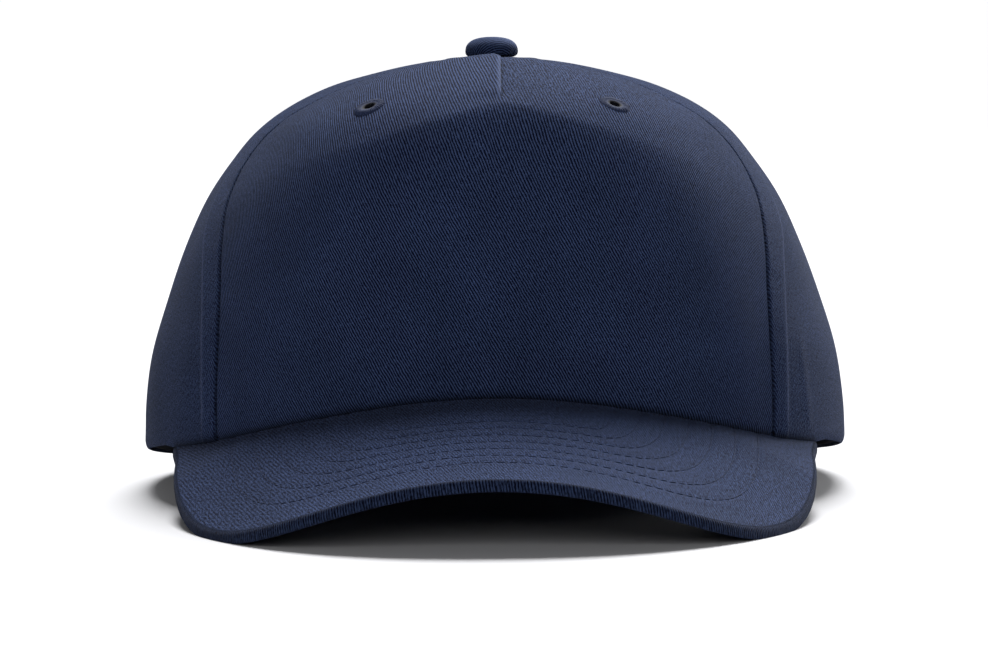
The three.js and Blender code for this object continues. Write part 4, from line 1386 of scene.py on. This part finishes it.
class CAP_OT_side_panels(CapOperator, bpy.types.Operator):
    """Make the side panels with the seam allowance folded under their front edges"""
    bl_idname = "cap.side_panels"
    bl_label = "Side Panels"

    def make(self, sizes):
        for name, side in (("side_panel_left", -1), ("side_panel_right", 1)):
            place_piece(make_side_panel(f"{name}_twill", side), "twill", name)


class CAP_OT_back_panels(CapOperator, bpy.types.Operator):
    """Make the back panels with the opening between them"""
    bl_idname = "cap.back_panels"
    bl_label = "Back Panels"

    def make(self, sizes):
        for name, side in (("back_panel_left", -1), ("back_panel_right", 1)):
            place_piece(make_back_panel(f"{name}_twill", side), "twill", name)


class CAP_OT_peak(CapOperator, bpy.types.Operator):
    """Make the curved peak"""
    bl_idname = "cap.peak"
    bl_label = "Peak"

    def make(self, sizes):
        place_piece(make_peak(), "twill", "peak")


class CAP_OT_bands(CapOperator, bpy.types.Operator):
    """Make the sweatband and the back strap"""
    bl_idname = "cap.bands"
    bl_label = "Sweatband and Strap"

    def make(self, sizes):
        place_piece(make_sweatband(), "band_cloth", "sweatband")
        place_piece(make_strap(), "twill", "back_strap")


class CAP_OT_button(CapOperator, bpy.types.Operator):
    """Make the cloth-covered button"""
    bl_idname = "cap.button"
    bl_label = "Button"

    def make(self, sizes):
        place_piece(make_button(), "twill", "top_button")


class CAP_OT_eyelets(CapOperator, bpy.types.Operator):
    """Make the satin-stitched eyelets"""
    bl_idname = "cap.eyelets"
    bl_label = "Eyelets"

    def make(self, sizes):
        tree = satin_tree()
        for name, side in (("eyelet_left", -1), ("eyelet_right", 1)):
            ring = grown(
                eyelet_ring("ring"), tree, f"{name}_satin",
                Threads=sizes.satin_threads, Seed=3 + side, Material=finish_of("thread"),
            )
            darken_hole(ring.data)
            ring.data.transform(eyelet_placement(side))
            place_piece(ring, "thread", name)


class CAP_OT_stitching(CapOperator, bpy.types.Operator):
    """Sew the rows of stitches on the peak, round the opening, on the strap and on the sweatband"""
    bl_idname = "cap.stitching"
    bl_label = "Stitching"

    def make(self, sizes):
        tree = stitch_tree()
        rows = {
            "peak_top_stitches": peak_stitch_lines(False),
            "peak_under_stitches": peak_stitch_lines(True),
            "opening_stitches": [line for inset in ARCH_STITCH_INSETS for line in arch_stitch_lines(inset)],
            "strap_stitches": strap_stitch_lines(),
            "sweatband_stitches": band_stitch_lines(),
        }
        for number, (name, lines) in enumerate(rows.items()):
            stitches = grown(line_mesh("rows", lines), tree, name, **{
                "Pitch": sizes.stitch_pitch, "Stitch Length": sizes.stitch_length, "Thread Radius": sizes.thread_radius,
                "Seed": 7 + number, "Material": finish_of("thread"),
            })
            place_piece(stitches, "thread")


class CAP_OT_stage(CapOperator, bpy.types.Operator):
    """Set up the pale floor, the lights and the camera"""
    bl_idname = "cap.stage"
    bl_label = "Stage"

    def make(self, sizes):
        make_stage(bpy.context.scene)


OPERATORS = (
    CAP_OT_front_panel, CAP_OT_side_panels, CAP_OT_back_panels, CAP_OT_peak, CAP_OT_bands, CAP_OT_button,
    CAP_OT_eyelets, CAP_OT_stitching, CAP_OT_stage,
)


class CAP_PT_make(bpy.types.Panel):
    bl_idname = "CAP_PT_make"
    bl_label = "Five Panel Cap"
    bl_space_type = "VIEW_3D"
    bl_region_type = "UI"
    bl_category = "Cap"

    def draw(self, context):
        for group in (context.scene.cap_sizes, context.scene.cap_looks):
            column = self.layout.column()
            for name in group.__annotations__:
                column.prop(group, name)
        for operator in OPERATORS:
            self.layout.operator(operator.bl_idname)


CLASSES = (CapSizes, CapLooks, *OPERATORS, CAP_PT_make)


def register():
    for cls in CLASSES:
        bpy.utils.register_class(cls)
    bpy.types.Scene.cap_sizes = bpy.props.PointerProperty(type=CapSizes)
    bpy.types.Scene.cap_looks = bpy.props.PointerProperty(type=CapLooks)


def unregister():
    del bpy.types.Scene.cap_looks
    del bpy.types.Scene.cap_sizes
    for cls in reversed(CLASSES):
        bpy.utils.unregister_class(cls)


# Stage

# The camera of the photograph, in the worn cap's millimetres and straight in front of it.
CAMERA_DISTANCE = 1500.0
CAMERA_HEIGHT = 30.8
CAMERA_LENS = 206.05
CAMERA_ROLL_DEG = 0.5
FLOOR_HALF = 14.0


def light(name, kind, place, towards, **settings):
    data = bpy.data.lights.new(name, kind)
    for key, value in settings.items():
        setattr(data, key, value)
    lamp = add_object(name, data)
    lamp.location = place
    lamp.rotation_euler = (Vector(towards) - Vector(place)).to_track_quat("-Z", "Y").to_euler()


def make_stage(scene):
    half = FLOOR_HALF
    mesh = bpy.data.meshes.new("floor")
    mesh.from_pydata([(-half, -half, 0), (half, -half, 0), (half, half, 0), (-half, half, 0)], [], [(0, 1, 2, 3)])
    mesh.materials.append(floor_material(scene.cap_looks))
    floor = add_object("floor", mesh)

    world = bpy.data.worlds.new("pale studio")
    world.use_nodes = True
    world.node_tree.nodes["Background"].inputs["Color"].default_value = linear("#F2F4F8")
    world.node_tree.nodes["Background"].inputs["Strength"].default_value = 0.12
    scene.world = world

    light("top light", "SUN", (0.06, 0.6, 1.0), (0, 0, 0), energy=7.8, angle=math.radians(32))
    for name, place, energy, width in (
        ("front light", (0.0, -1.8, 0.7), 16, 1.2),
        ("left light", (-1.1, 1.5, 0.5), 3, 0.8),
        ("right light", (1.2, 1.4, 0.6), 30, 0.8),
    ):
        light(name, "AREA", place, (0, 0, 0.06), energy=energy, shape="RECTANGLE", size=width, size_y=0.8)

    lens = bpy.data.cameras.new("camera")
    lens.lens = CAMERA_LENS
    lens.sensor_width = 36.0
    lens.clip_start = 0.05
    lens.clip_end = 60.0
    camera = add_object("camera", lens)
    camera.location = set_down(np.array([0.0, -CAMERA_DISTANCE, CAMERA_HEIGHT])).tolist()
    straight = Vector(facing_down(np.array([0.0, 1.0, 0.0])).tolist()).to_track_quat("-Z", "Y")
    camera.rotation_euler = (straight @ Quaternion((0, 0, 1), math.radians(-CAMERA_ROLL_DEG))).to_euler()
    scene.camera = camera

    scene.view_settings.view_transform = "Standard"
    scene.view_settings.look = "None"
    scene.view_settings.exposure = 0.0


def main():
    register()
    for operator in OPERATORS:
        group, name = operator.bl_idname.split(".")
        getattr(getattr(bpy.ops, group), name)()


if __name__ == "__main__":
    main()
